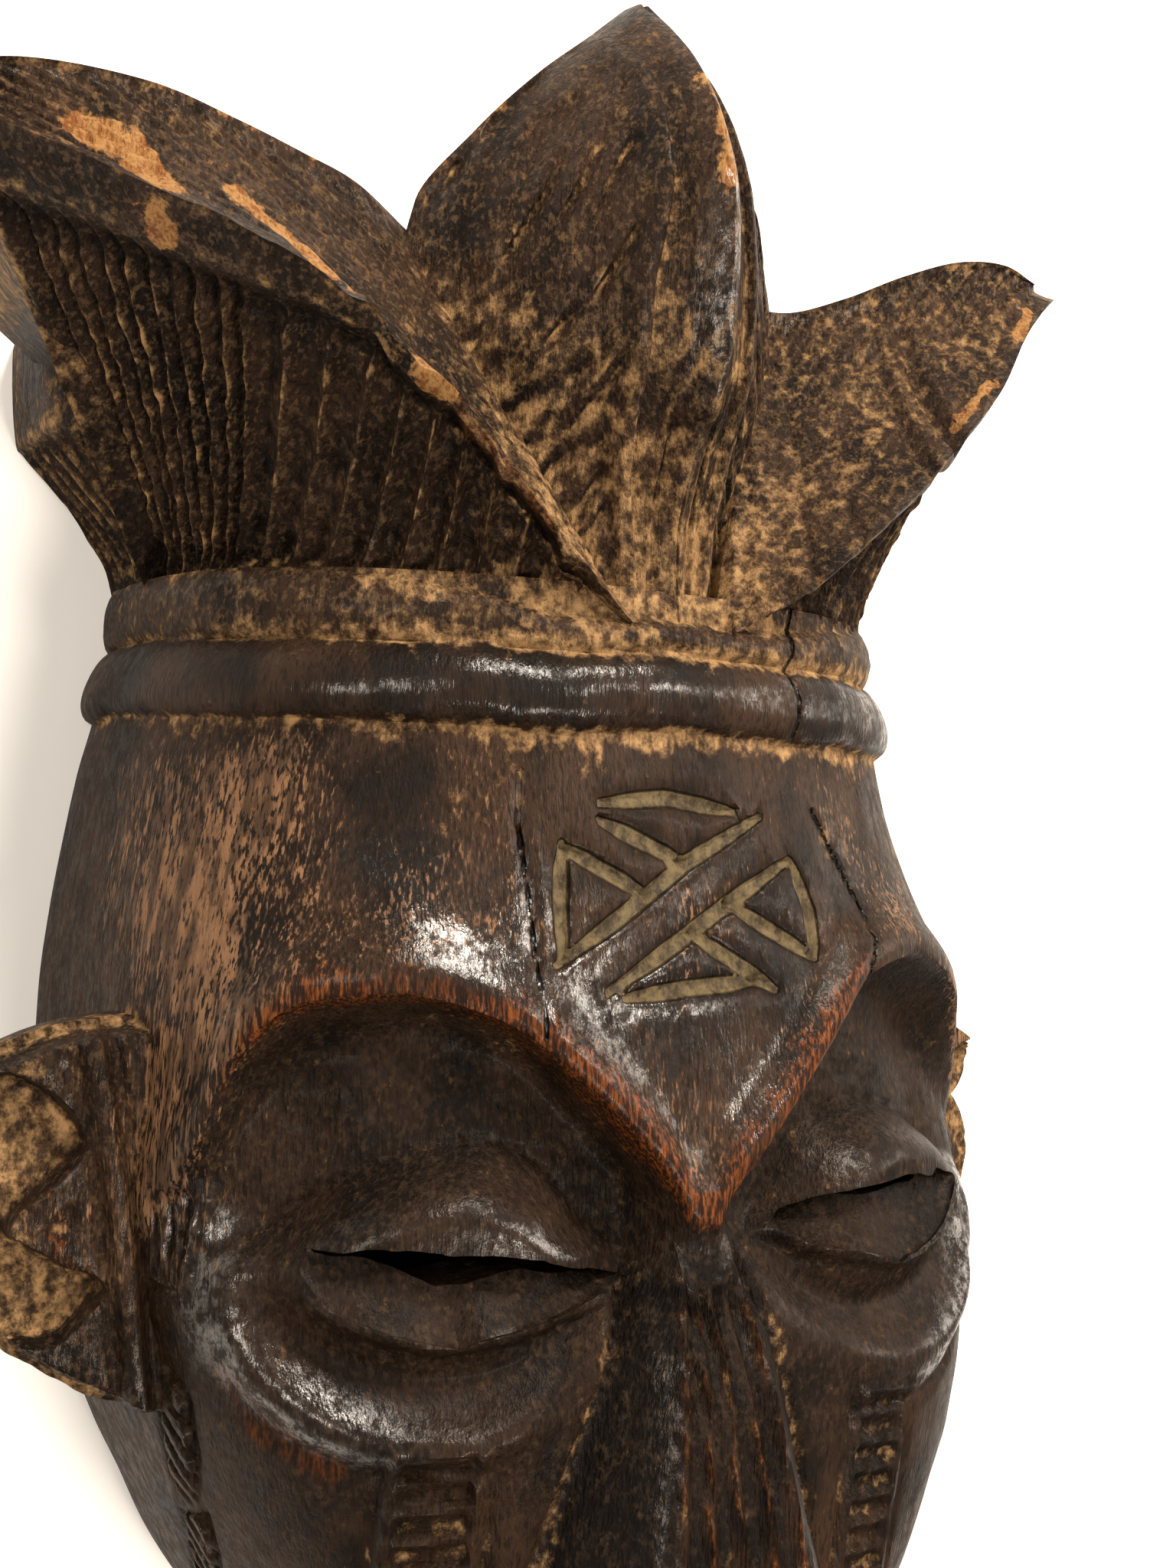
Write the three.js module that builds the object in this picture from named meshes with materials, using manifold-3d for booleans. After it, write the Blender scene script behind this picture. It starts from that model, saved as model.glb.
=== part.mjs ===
// Carved wooden face mask with a leaf-shaped crown, lying on its flat back.
// Millimetres. X runs across the face (the mask's own left is +X), Y runs from
// the chin to the crown, Z runs from the flat back to the nose.
import * as THREE from "three";
import { mergeVertices } from "three/addons/utils/BufferGeometryUtils.js";
import Module from "manifold-3d";

const CHIN_Y = -172;
const CREST_TIP_Y = 172;
const SECTION_Z = 35; // height above the back of the line that sections turn about
const SECTION_BACK = 80; // how far sections reach behind that line before they are cut flat
const WALL = 11; // thickness of the hollowed face
const FACE_TILT = 0.05; // the face is carved a little askew under the crown
const TILT_Y = -20; // the height that the tilt turns about

// The plain head at a few levels: half widths on the mask's right and left, front height
// and boxiness (2 is an ellipse). The carver left the two sides a little unlike.
const HEAD_LEVELS = [
  { y: 60, right: 75, left: 69.5, front: 98, power: 2.5 },
  { y: 45, right: 75.5, left: 71.5, front: 100, power: 2.5 },
  { y: 31, right: 79.5, left: 76, front: 102, power: 2.5 },
  { y: 20, right: 81.8, left: 77.5, front: 104, power: 2.6 },
  { y: 8, right: 83, left: 80.5, front: 106, power: 2.8 },
  { y: -5, right: 84.3, left: 84.5, front: 109, power: 3 },
  { y: -20, right: 85.5, left: 87.5, front: 112, power: 3.2 },
  { y: -50, right: 87, left: 90, front: 115, power: 3.2 },
  { y: -80, right: 83, left: 90, front: 114, power: 3.2 },
  { y: -105, right: 74.8, left: 88, front: 112, power: 3.1 },
  { y: -115, right: 70.4, left: 85, front: 111, power: 3 },
  { y: -130, right: 64, left: 78, front: 110, power: 2.9 },
  { y: -150, right: 51, left: 62, front: 105, power: 2.6 },
  { y: -163, right: 37, left: 43, front: 92, power: 2.4 },
  { y: -170, right: 20, left: 22, front: 68, power: 2.2 },
  { y: CHIN_Y, right: 8, left: 8, front: 50, power: 2.2 },
];

const BAND_BOTTOM_Y = 31.5;
const BAND_JOINT_Y = 45.3;
const BAND_TOP_FRONT_Y = 51;
const BAND_TOP_SIDE_Y = 58;
const LOWER_BAND_SWELL = 4.2;
const UPPER_BAND_SWELL = 2.6;

// The brow: its lower edge on each side, given as height over the distance from the middle.
const BROW_EDGE_RIGHT = [
  [0, -52],
  [5, -51],
  [8, -45.5],
  [13, -38.8],
  [24.5, -26.6],
  [38.7, -15.9],
  [53, -12.3],
  [66.6, -13.8],
  [75.5, -22.2],
  [80, -36],
  [90, -62],
];
const BROW_EDGE_LEFT = [
  [0, -52],
  [3, -47.5],
  [11.4, -40.1],
  [24.4, -25.8],
  [38.8, -11.3],
  [53, -8.4],
  [61.2, -10.7],
  [70, -16],
  [80, -30],
  [90, -60],
];
const BROW_LEVEL_Y = -20;
const BROW_RISE = 3.2;
const SOCKET_DEPTH = 12;
const SOCKET_FALL = 9; // height over which the surface drops into the socket under the brow
// The lower end of the eye socket, given in the same way.
const SOCKET_EDGE = [
  [0, -86],
  [14, -74],
  [30, -82],
  [48, -86],
  [66, -80],
  [80, -66],
  [90, -50],
];

const EYE = { x: 47, y: -55, halfWidth: 32, halfHeight: 18, rise: 11.5 };
// A raised roll runs round the outer and lower side of each socket.
const ROLL = { halfWidth: 31, halfHeight: 28, width: 4, rise: 2 };
// Each eye is cut in under its upper lid, and a narrow slit goes right through.
// The line of the lid falls a little towards the nose, more on the mask's right.
const LID = { x: 42.5, y: -52.4, halfWidth: 27.5, height: 14, depth: 6, fallRight: 5, fallLeft: 1.5 };
const SLIT = { halfWidth: 23, height: 3.2 };

// The nose has a flat front between two ridges, and flanks that fall to its foot.
const NOSE = {
  rootY: -57,
  tipY: -122,
  endY: -128,
  rootRidge: 5.2,
  tipRidge: 13.5,
  rootFoot: 12,
  tipFoot: 28.5,
  rootRise: 5,
  tipRise: 25,
  fill: 0.75,
};
const MOUTH = { y: -143, halfWidth: 30, halfHeight: 11, rise: 9, groove: 3 };
const CHIN = { y: -162, radius: 22, rise: 6 };

// The forehead mark: four triangles of straight cuts that meet at a cross.
const MARK = { y: 2.3, cut: 2.4, depth: 1.7 };
const MARK_SIDE = { inner: 9, outer: 26, spread: 10 };
const MARK_TOP = { inner: 6, outer: 15.5, spread: 17 };

// The crown: two folded side leaves, a keeled front leaf and a plain rear block.
const FOOT = [11, 51, 102];
const NOTCH = [39, 124, 63];
const RIGHT_LEAF = {
  side: -1,
  rim: [FOOT, [26, 63, 105], [45, 81, 106], [61, 94, 106], [82, 104.5, 102], [105, 114, 92], [128, 122, 82]],
  crest: [NOTCH, [52, 129, 68], [64, 130.5, 72], [78, 132, 76], [94, 133, 80], [118, 130, 83], [129, 126, 79]],
};
const LEFT_LEAF = {
  side: 1,
  rim: [FOOT, [28, 61.5, 105], [48, 79, 106], [63, 93.5, 104.5], [77, 106.5, 100], [90, 121, 93], [104, 133, 86]],
  crest: [NOTCH, [47, 123.5, 67], [57, 127, 73], [68, 132.5, 78], [80, 137, 82], [91, 138, 84], [102, 136.5, 82]],
};
const LEAF_BASE_START = 8; // degrees round the neck
const LEAF_BASE_END = 97;
const FLUTES = 17;
const FLUTE_DEPTH = 1.8;
const RIM_BORDER = 0.86; // share of the outer face that the flutes cover
const INNER_DISH = 5;

// The front leaf at a few levels: keel height above the back and half width.
const CREST_LEVELS = [
  { y: 46, keel: 101, half: 12, edge: 84 },
  { y: 67, keel: 100.5, half: 27, edge: 76 },
  { y: 84, keel: 105.5, half: 34, edge: 70 },
  { y: 101, keel: 111.5, half: 41, edge: 66 },
  { y: 114, keel: 111.5, half: 43, edge: 64 },
  { y: 129, keel: 110, half: 40.5, edge: 64 },
  { y: 143, keel: 104.5, half: 31, edge: 68 },
  { y: 156, keel: 95.5, half: 19.5, edge: 72 },
  { y: 165, keel: 86, half: 9.5, edge: 74 },
  { y: CREST_TIP_Y, keel: 76.5, half: 2, edge: 73.5 },
];
const CREST_SHIFT = 1.5; // the front leaf leans a little to the mask's left
const CREST_BACK = 15; // thickness behind the leaf's side edge near the tip
const CREST_ROOT_BACK = 40;

// The rear block of the crown.
const REAR_LEVELS = [
  { y: 44, half: 68, front: 70 },
  { y: 57, half: 73.5, front: 62 },
  { y: 63, half: 75.5, front: 58 },
  { y: 70, half: 80.3, front: 55 },
  { y: 77, half: 87, front: 52 },
  { y: 86, half: 94.5, front: 50 },
  { y: 104, half: 96, front: 48 },
  { y: 112, half: 92, front: 44 },
  { y: 116, half: 84, front: 38 },
];
const REAR_Z = 20;
const REAR_BACK = 70;
const REAR_POWER = 2.8;

const EAR = { x: 82, y: -55, z: 66, turn: 0.2, reach: 34, half: 34, base: 9, relief: 5 };

// Helpers.
const clamp = (v, lo, hi) => Math.min(Math.max(v, lo), hi);
const lerp = (a, b, t) => a + (b - a) * t;
const smooth = (lo, hi, v) => {
  const t = clamp((v - lo) / (hi - lo), 0, 1);
  return t * t * (3 - 2 * t);
};
const bell = (v, width) => Math.exp(-((v / width) ** 2));
const range = (n, f) => Array.from({ length: n }, (_, i) => f(i));

// A smooth curve through [x, y] points that doesn't overshoot them.
function through(points) {
  const sorted = [...points].sort((a, b) => a[0] - b[0]);
  const n = sorted.length;
  const slope = range(n - 1, (i) => (sorted[i + 1][1] - sorted[i][1]) / (sorted[i + 1][0] - sorted[i][0]));
  const tangent = range(n, (i) => {
    if (i === 0) return slope[0];
    if (i === n - 1) return slope[n - 2];
    const product = slope[i - 1] * slope[i];
    return product <= 0 ? 0 : (2 * product) / (slope[i - 1] + slope[i]);
  });
  return (x) => {
    const v = clamp(x, sorted[0][0], sorted[n - 1][0]);
    let i = 0;
    while (i < n - 2 && v > sorted[i + 1][0]) i += 1;
    const h = sorted[i + 1][0] - sorted[i][0];
    const t = (v - sorted[i][0]) / h;
    const t2 = t * t;
    const t3 = t2 * t;
    return (
      (2 * t3 - 3 * t2 + 1) * sorted[i][1] +
      (t3 - 2 * t2 + t) * h * tangent[i] +
      (3 * t2 - 2 * t3) * sorted[i + 1][1] +
      (t3 - t2) * h * tangent[i + 1]
    );
  };
}

const column = (levels, key) => through(levels.map((level) => [level.y, level[key]]));

// A space curve through points, read from 0 to 1 by its parameter.
function guide(points, side = 1) {
  const curve = new THREE.CatmullRomCurve3(points.map(([x, y, z]) => new THREE.Vector3(side * x, y, z)));
  return (t) => curve.getPoint(clamp(t, 0, 1));
}

// A closed geometry from loops with the same number of points, capped at both ends.
// Each four-sided cell is split along its shorter diagonal, which keeps creases clean.
function loft(loops) {
  const rows = loops.length;
  const columns = loops[0].length;
  const positions = loops.flat().flatMap((p) => [p.x, p.y, p.z]);
  const index = [];
  for (let r = 0; r < rows - 1; r += 1) {
    for (let c = 0; c < columns; c += 1) {
      const next = (c + 1) % columns;
      const a = r * columns + c;
      const b = r * columns + next;
      const rising = loops[r][c].distanceTo(loops[r + 1][next]);
      const falling = loops[r][next].distanceTo(loops[r + 1][c]);
      const up = [a, b, b + columns, a, b + columns, a + columns];
      const down = [a, b, a + columns, b, b + columns, a + columns];
      index.push(...(rising < falling ? up : down));
    }
  }
  [0, rows - 1].forEach((r) => {
    const middle = new THREE.Vector3();
    loops[r].forEach((p) => middle.addScaledVector(p, 1 / columns));
    const hub = positions.length / 3;
    positions.push(middle.x, middle.y, middle.z);
    for (let c = 0; c < columns; c += 1) {
      const a = r * columns + c;
      const b = r * columns + ((c + 1) % columns);
      index.push(...(r === 0 ? [hub, b, a] : [hub, a, b]));
    }
  });
  const geometry = new THREE.BufferGeometry();
  geometry.setAttribute("position", new THREE.Float32BufferAttribute(positions, 3));
  geometry.setIndex(index);
  return geometry;
}

const wasm = await Module();
wasm.setup();

// A closed geometry as a solid, turned right side out.
function solid(geometry) {
  const bare = new THREE.BufferGeometry();
  const source = geometry.index ? geometry.toNonIndexed() : geometry;
  bare.setAttribute("position", source.getAttribute("position"));
  const merged = mergeVertices(bare, 1e-4);
  const build = (flip) => {
    const triVerts = new Uint32Array(merged.index.array);
    for (let i = 0; flip && i < triVerts.length; i += 3) {
      [triVerts[i + 1], triVerts[i + 2]] = [triVerts[i + 2], triVerts[i + 1]];
    }
    const vertProperties = merged.attributes.position.array;
    return new wasm.Manifold(new wasm.Mesh({ numProp: 3, vertProperties, triVerts }));
  };
  const made = build(false);
  return made.volume() > 0 ? made : build(true);
}

function box(minX, maxX, minY, maxY, minZ, maxZ) {
  const geometry = new THREE.BoxGeometry(maxX - minX, maxY - minY, maxZ - minZ);
  geometry.translate((minX + maxX) / 2, (minY + maxY) / 2, (minZ + maxZ) / 2);
  return solid(geometry);
}

// The head.
const headRight = column(HEAD_LEVELS, "right");
const headLeft = column(HEAD_LEVELS, "left");
const headFront = column(HEAD_LEVELS, "front");
const headPower = column(HEAD_LEVELS, "power");
const browRight = through(BROW_EDGE_RIGHT);
const browLeft = through(BROW_EDGE_LEFT);
const browEdge = (x) => (x < 0 ? browRight(-x) : browLeft(x));
const socketEdge = through(SOCKET_EDGE);

const tilt = (y) => FACE_TILT * (1 - smooth(-45, 20, y));

// Distance from the section's centre to its outline in direction phi (0 is the front).
function sectionRadius(phi, half, front, back, power) {
  const along = Math.cos(phi) > 0 ? front : back;
  const x = Math.abs(Math.sin(phi) / half) ** power;
  const z = Math.abs(Math.cos(phi) / along) ** power;
  return (x + z) ** (-1 / power);
}

function headRadius(phi, y, back = SECTION_BACK) {
  const half = Math.sin(phi) < 0 ? headRight(y) : headLeft(y);
  return sectionRadius(phi, half, headFront(y) - SECTION_Z, back, headPower(y));
}

const bandTop = (x) => lerp(BAND_TOP_FRONT_Y, BAND_TOP_SIDE_Y, smooth(10, 70, Math.abs(x)));

function bandSwell(x, y) {
  const roll = (lo, hi) => Math.sqrt(Math.max(0, 1 - ((2 * y - lo - hi) / (hi - lo)) ** 2));
  if (y > BAND_BOTTOM_Y && y < BAND_JOINT_Y) return LOWER_BAND_SWELL * roll(BAND_BOTTOM_Y, BAND_JOINT_Y);
  if (y >= BAND_JOINT_Y && y < bandTop(x)) return UPPER_BAND_SWELL * roll(BAND_JOINT_Y, bandTop(x));
  return 0;
}

// How far the socket is cut in, from 0 at the brow's edge to 1 under it.
function socketShare(x, y) {
  const above = 1 - clamp((browEdge(x) - y + 0.5) / SOCKET_FALL, 0, 1);
  const fade = smooth(0, 24, y - socketEdge(Math.abs(x))) * (1 - smooth(70, 90, Math.abs(x)));
  return (1 - above * above) * fade;
}

function browAndSocket(x, y) {
  const d = Math.abs(x);
  const below = browEdge(x) - y;
  const ridge = bell(below + 4, 6) * (1 - 0.6 * smooth(60, 85, d));
  const around = Math.hypot((d - EYE.x) / ROLL.halfWidth, (y - EYE.y) / ROLL.halfHeight);
  const roll = bell((around - 1) * ROLL.halfHeight, ROLL.width) * smooth(-50, -64, y) * smooth(24, 40, d);
  return BROW_RISE * ridge + ROLL.rise * roll - SOCKET_DEPTH * socketShare(x, y);
}

function eye(x, y) {
  const u = (Math.abs(x) - EYE.x) / EYE.halfWidth;
  const v = (y - EYE.y) / EYE.halfHeight;
  const inside = 1 - u * u - v * v;
  return EYE.rise * smooth(-0.12, 0.62, inside);
}

function nose(x, y) {
  const t = clamp((NOSE.rootY - y) / (NOSE.rootY - NOSE.tipY), 0, 1);
  const ridge = lerp(NOSE.rootRidge, NOSE.tipRidge, t);
  const foot = lerp(NOSE.rootFoot, NOSE.tipFoot, t);
  const rise = lerp(NOSE.rootRise, NOSE.tipRise, t) * smooth(NOSE.rootY + 10, NOSE.rootY - 4, y);
  const end = smooth(NOSE.endY - 3, NOSE.tipY, y);
  const across = Math.abs(x + tilt(y) * (TILT_Y - y));
  const side = 1 - clamp((across - ridge) / (foot - ridge), 0, 1);
  return (rise + NOSE.fill * SOCKET_DEPTH * socketShare(x, y)) * side * end;
}

function mouthAndChin(x, y) {
  const u = x / MOUTH.halfWidth;
  const v = (y - MOUTH.y) / MOUTH.halfHeight;
  const inside = 1 - u * u - v * v;
  const lips = inside > 0 ? MOUTH.rise * inside ** 0.6 : 0;
  const seam = MOUTH.groove * bell(y - MOUTH.y, 1.6) * (inside > 0.1 ? 1 : 0);
  const chin = CHIN.rise * bell(Math.hypot(x, y - CHIN.y), CHIN.radius);
  return lips - seam + chin;
}

// The face is turned a little under the crown, so what lies low moves to one side.
function skew(p) {
  const amount = tilt(p.y);
  const { x, y } = p;
  p.x = x + amount * (TILT_Y - y);
  p.y = y + amount * x * (1 - smooth(-120, -172, y));
  return p;
}

// Rows of points follow the brow, so that its edge comes out clean.
function bend(phi, level) {
  const x = headRadius(phi, BROW_LEVEL_Y) * Math.sin(phi);
  const offset = (browEdge(x) - BROW_LEVEL_Y) * smooth(100, 72, (Math.abs(phi) * 180) / Math.PI);
  const above = clamp((24 - level) / (24 - BROW_LEVEL_Y), 0, 1);
  const below = clamp((level + 104) / (BROW_LEVEL_Y + 104), 0, 1);
  return level + offset * Math.min(above, below);
}

function headPoint(phi, level) {
  const y = bend(phi, level);
  const r = headRadius(phi, y);
  const x = r * Math.sin(phi);
  const front = smooth(-0.25, 0.25, Math.cos(phi));
  const carve = bandSwell(x, y) + front * (browAndSocket(x, y) + eye(x, y) + nose(x, y) + mouthAndChin(x, y));
  const out = r + carve;
  return skew(new THREE.Vector3(out * Math.sin(phi), y, SECTION_Z + out * Math.cos(phi)));
}

// Columns crowd where the face is carved and thin out behind the ears.
const HEAD_COLUMNS = [
  ...range(31, (i) => -60 + 4 * i),
  69, 80, 92, 104, 115, 140,
  180,
  -140, -115, -104, -92, -80, -69,
].map((degrees) => (degrees * Math.PI) / 180);

const HEAD_ROWS = [
  CHIN_Y, -170.5, -166, -160, -153,
  ...range(5, (i) => -149 + 3 * i),
  -131, -126, -121, -112, -104, -97,
  ...range(12, (i) => -89 + 4.9 * i),
  -32, -28.5, -24.5, -20.5, -18, -14.5, -9.5,
  2, 16,
  BAND_BOTTOM_Y, 33.5, 38.4, 43.3, BAND_JOINT_Y, 47, 51, 57.5,
];

function makeHead() {
  return solid(loft(HEAD_ROWS.map((y) => HEAD_COLUMNS.map((phi) => headPoint(phi, y)))));
}

// What is hollowed out from behind: the plain head less the wall, open at the back.
function makeHollow() {
  const rows = [-158, -154, -144, -122, -95, -70, -45, -15, 8, 20, 26];
  const shrink = (y) => WALL + 26 * smooth(6, 26, y) ** 2 + 14 * smooth(-140, -158, y) ** 2;
  const loops = rows.map((y) =>
    range(26, (i) => {
      const phi = (i * 2 * Math.PI) / 26;
      const r = headRadius(phi, y, 300);
      const socket = 0.8 * SOCKET_DEPTH * smooth(0.2, 0.9, Math.cos(phi)) * smooth(-100, -60, y) * (1 - smooth(-50, -10, y));
      const inner = r - shrink(y) - socket;
      return skew(new THREE.Vector3(inner * Math.sin(phi), y, SECTION_Z + inner * Math.cos(phi)));
    }),
  );
  return solid(loft(loops));
}

// The height of the carved face above the back at a place seen from the front.
function surface(x, y) {
  let phi = 0;
  range(8, () => {
    phi = Math.asin(clamp(x / headRadius(phi, y), -1, 1));
  });
  return SECTION_Z + (headRadius(phi, y) + browAndSocket(x, y) + eye(x, y)) * Math.cos(phi);
}

const lidLine = (side, u) => LID.y - (side < 0 ? LID.fallRight : LID.fallLeft) * smooth(0.1, -1, u);

// What is cut away under the upper lid: deep under the lid, running out at the lower one.
function makeLid(side) {
  const loops = range(9, (i) => {
    const u = Math.sin(((i / 4 - 1) * Math.PI) / 2);
    const x = side * (LID.x + u * LID.halfWidth);
    const width = Math.max(1 - u * u, 0.01) ** 0.7;
    const top = lidLine(side, u);
    const low = top - LID.height * width;
    const front = surface(x, top);
    return [
      [top, front + 5],
      [top, front - LID.depth * width - 0.1],
      [low, surface(x, low) + 0.2],
      [low, front + 5],
    ].map(([y, z]) => skew(new THREE.Vector3(x, y, z)));
  });
  return solid(loft(loops));
}

// One eye slit: a thin lens that runs right through the wall.
function makeSlit(side) {
  const outline = range(11, (i) => [lerp(-1, 1, i / 10), 0])
    .concat(range(9, (i) => [lerp(0.8, -0.8, i / 8), -1]));
  const loop = (z) =>
    outline.map(([u, edge]) => {
      const x = side * (LID.x + u * SLIT.halfWidth);
      const y = lidLine(side, u) - 0.5 + edge * SLIT.height * Math.sqrt(1 - u * u);
      return skew(new THREE.Vector3(x, y, z));
    });
  return solid(loft([loop(40), loop(140)]));
}

// The crown.
function makeLeaf({ side, rim, crest }) {
  const rimAt = guide(rim, side);
  const crestAt = guide(crest, side);
  const baseAt = (t) => {
    const phi = (lerp(LEAF_BASE_START, LEAF_BASE_END, t) * Math.PI) / 180;
    const r = sectionRadius(phi, 73, 63, SECTION_BACK, 2.5);
    return new THREE.Vector3(side * r * Math.sin(phi), 0, SECTION_Z + r * Math.cos(phi));
  };
  const steps = 2 * FLUTES;
  const outer = [0.14, 0.5, 0.8, RIM_BORDER, 1];
  const inner = [0.2, 0.6, 1];
  const loops = range(steps + 1, (i) => {
    const t = i / steps;
    const base = baseAt(t);
    const top = rimAt(t);
    const high = crestAt(t);
    base.y = bandTop(base.x) - 3;
    const ring = [new THREE.Vector3(side * 12, 34, 24), base.clone().setY(40)];
    ring[1].x *= 0.9;
    const valley = i % 2 === 1 && t > 0.03 && t < 0.99 ? FLUTE_DEPTH : 0;
    outer.forEach((v) => {
      const p = base.clone().lerp(top, v);
      const hollow = 3.5 * Math.sin(Math.PI * v) + (v < RIM_BORDER ? valley : 0);
      const away = new THREE.Vector3(p.x, 0, p.z - SECTION_Z).normalize();
      ring.push(p.addScaledVector(away, -hollow));
    });
    inner.forEach((v) => {
      const p = top.clone().lerp(high, v);
      p.z -= INNER_DISH * Math.sin(Math.PI * v) ** 0.8 * Math.sin(Math.PI * clamp(t, 0.05, 0.95));
      ring.push(p);
    });
    ring.push(new THREE.Vector3(high.x * 0.985, high.y - 3, high.z - 12));
    ring.push(new THREE.Vector3(high.x * 0.8, 104, 20));
    return ring;
  });
  return solid(loft(loops));
}

function makeFrontLeaf() {
  const keelAt = column(CREST_LEVELS, "keel");
  const halfAt = column(CREST_LEVELS, "half");
  const edgeAt = column(CREST_LEVELS, "edge");
  const rows = [...range(13, (i) => 46 + 8.6 * i), 155, 160, 164.5, 168.5, CREST_TIP_Y];
  const loops = rows.map((y) => {
    const keel = keelAt(y);
    const half = halfAt(y);
    const edge = edgeAt(y);
    const lean = CREST_SHIFT * smooth(60, 130, y);
    const size = smooth(CREST_TIP_Y + 6, 130, y);
    const flank = [0.07, 0.3, 0.36, 0.68, 1].map((u) => {
      const strip = u > 0.2 ? 1.2 : 0;
      return [half * u, lerp(keel, edge, u) + (2.5 * Math.sin(Math.PI * u) - (u === 0.3 ? 1.6 : 0) + strip) * size];
    });
    const side = (s) => flank.map(([x, z]) => new THREE.Vector3(lean + s * x, y, z));
    const back = lerp(CREST_BACK * (0.35 + 0.65 * size), CREST_ROOT_BACK, 1 - smooth(100, 122, y));
    const rear = [
      new THREE.Vector3(lean + half * 0.8, y, edge - back * 0.7),
      new THREE.Vector3(lean, y, edge - back),
      new THREE.Vector3(lean - half * 0.8, y, edge - back * 0.7),
    ];
    return [...side(1), ...rear, ...side(-1).reverse()];
  });
  return solid(loft(loops));
}

function makeRearBlock() {
  const halfAt = column(REAR_LEVELS, "half");
  const frontAt = column(REAR_LEVELS, "front");
  const rows = [44, 57, 63, 70, 77, 86, 104, 112, 116];
  const loops = rows.map((y) =>
    range(28, (i) => {
      const phi = (i * 2 * Math.PI) / 28;
      const r = sectionRadius(phi, halfAt(y), frontAt(y) - REAR_Z, REAR_BACK, REAR_POWER);
      return new THREE.Vector3(r * Math.sin(phi), y, REAR_Z + r * Math.cos(phi));
    }),
  );
  return solid(loft(loops));
}

// An ear: a plate with three lobes; on it stands a relief with three arms, like an E.
function makeEar(side) {
  const { reach, half, base, relief } = EAR;
  const lobes = new THREE.Shape();
  lobes.moveTo(-8, half);
  lobes.quadraticCurveTo(reach * 0.5, half + 3, reach * 0.94, half * 0.72);
  lobes.quadraticCurveTo(reach * 0.98, half * 0.45, reach * 0.82, half * 0.36);
  lobes.quadraticCurveTo(reach * 1.06, half * 0.1, reach, -half * 0.14);
  lobes.quadraticCurveTo(reach * 0.94, -half * 0.3, reach * 0.8, -half * 0.38);
  lobes.quadraticCurveTo(reach * 1.0, -half * 0.55, reach * 0.84, -half * 0.74);
  lobes.quadraticCurveTo(reach * 0.5, -half * 0.98, -8, -half * 1.06);
  lobes.closePath();
  const arms = new THREE.Shape();
  arms.moveTo(-8, half * 0.97);
  arms.quadraticCurveTo(reach * 0.5, half * 0.99, reach * 0.84, half * 0.68);
  arms.quadraticCurveTo(reach * 0.5, half * 0.72, reach * 0.22, half * 0.38);
  arms.quadraticCurveTo(reach * 0.4, half * 0.2, reach * 0.68, half * 0.02);
  arms.lineTo(reach * 0.66, -half * 0.16);
  arms.quadraticCurveTo(reach * 0.3, -half * 0.22, reach * 0.2, -half * 0.44);
  arms.quadraticCurveTo(reach * 0.4, -half * 0.58, reach * 0.72, -half * 0.64);
  arms.quadraticCurveTo(reach * 0.4, -half * 0.92, -8, -half * 1.0);
  arms.closePath();
  const raise = (shape, depth, z) => {
    const geometry = new THREE.ExtrudeGeometry(shape, { depth, bevelEnabled: false, curveSegments: 3 });
    geometry.translate(0, 0, z);
    return geometry;
  };
  const place = (geometry) => {
    geometry.applyMatrix4(new THREE.Matrix4().makeRotationY(EAR.turn));
    geometry.translate(EAR.x, EAR.y, EAR.z);
    if (side < 0) geometry.scale(-1, 1, 1);
    return solid(geometry);
  };
  return place(raise(lobes, base, -base)).add(place(raise(arms, relief + 1, -1)));
}

// Corners of the four triangles of the mark, seen from the front, turned by quarters.
function markTriangles() {
  return range(4, (quarter) => {
    const { inner, outer, spread } = quarter % 2 === 0 ? MARK_SIDE : MARK_TOP;
    const a = (quarter * Math.PI) / 2;
    const turn = (x, y) => [x * Math.cos(a) - y * Math.sin(a), MARK.y + x * Math.sin(a) + y * Math.cos(a)];
    return [turn(inner, 0), turn(outer, spread), turn(outer, -spread)];
  });
}

// One straight cut: a V-shaped bar laid along the forehead between two points.
function makeCut([x0, y0], [x1, y1]) {
  const along = new THREE.Vector2(x1 - x0, y1 - y0).normalize();
  const across = new THREE.Vector2(-along.y, along.x).multiplyScalar(MARK.cut / 2);
  const loops = range(3, (i) => {
    const x = lerp(x0, x1, i / 2);
    const y = lerp(y0, y1, i / 2);
    const z = surface(x, y);
    return [
      new THREE.Vector3(x + across.x * 1.6, y + across.y * 1.6, z + 1.2),
      new THREE.Vector3(x - across.x * 1.6, y - across.y * 1.6, z + 1.2),
      new THREE.Vector3(x, y, z - MARK.depth),
    ];
  });
  return solid(loft(loops));
}

function makeMask() {
  let body = makeHead().add(makeRearBlock());
  [RIGHT_LEAF, LEFT_LEAF].forEach((leaf) => {
    body = body.add(makeLeaf(leaf));
  });
  body = body.add(makeFrontLeaf());
  [-1, 1].forEach((side) => {
    body = body.add(makeEar(side));
  });
  body = body.subtract(makeHollow());
  [-1, 1].forEach((side) => {
    body = body.subtract(makeLid(side)).subtract(makeSlit(side));
  });
  markTriangles().forEach((corners) => {
    corners.forEach((corner, i) => {
      body = body.subtract(makeCut(corner, corners[(i + 1) % 3]));
    });
  });
  return body.intersect(box(-200, 200, -300, 300, 0, 300));
}

// The origin lies under the middle of the outline, a little to one side of the nose.
function toGeometry(made) {
  const mesh = made.getMesh();
  const geometry = new THREE.BufferGeometry();
  geometry.setAttribute("position", new THREE.BufferAttribute(new Float32Array(mesh.vertProperties), 3));
  geometry.setIndex(new THREE.BufferAttribute(new Uint32Array(mesh.triVerts), 1));
  geometry.computeBoundingBox();
  const { min, max } = geometry.boundingBox;
  geometry.translate(-(min.x + max.x) / 2, 0, 0);
  geometry.computeVertexNormals();
  return geometry;
}

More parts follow.
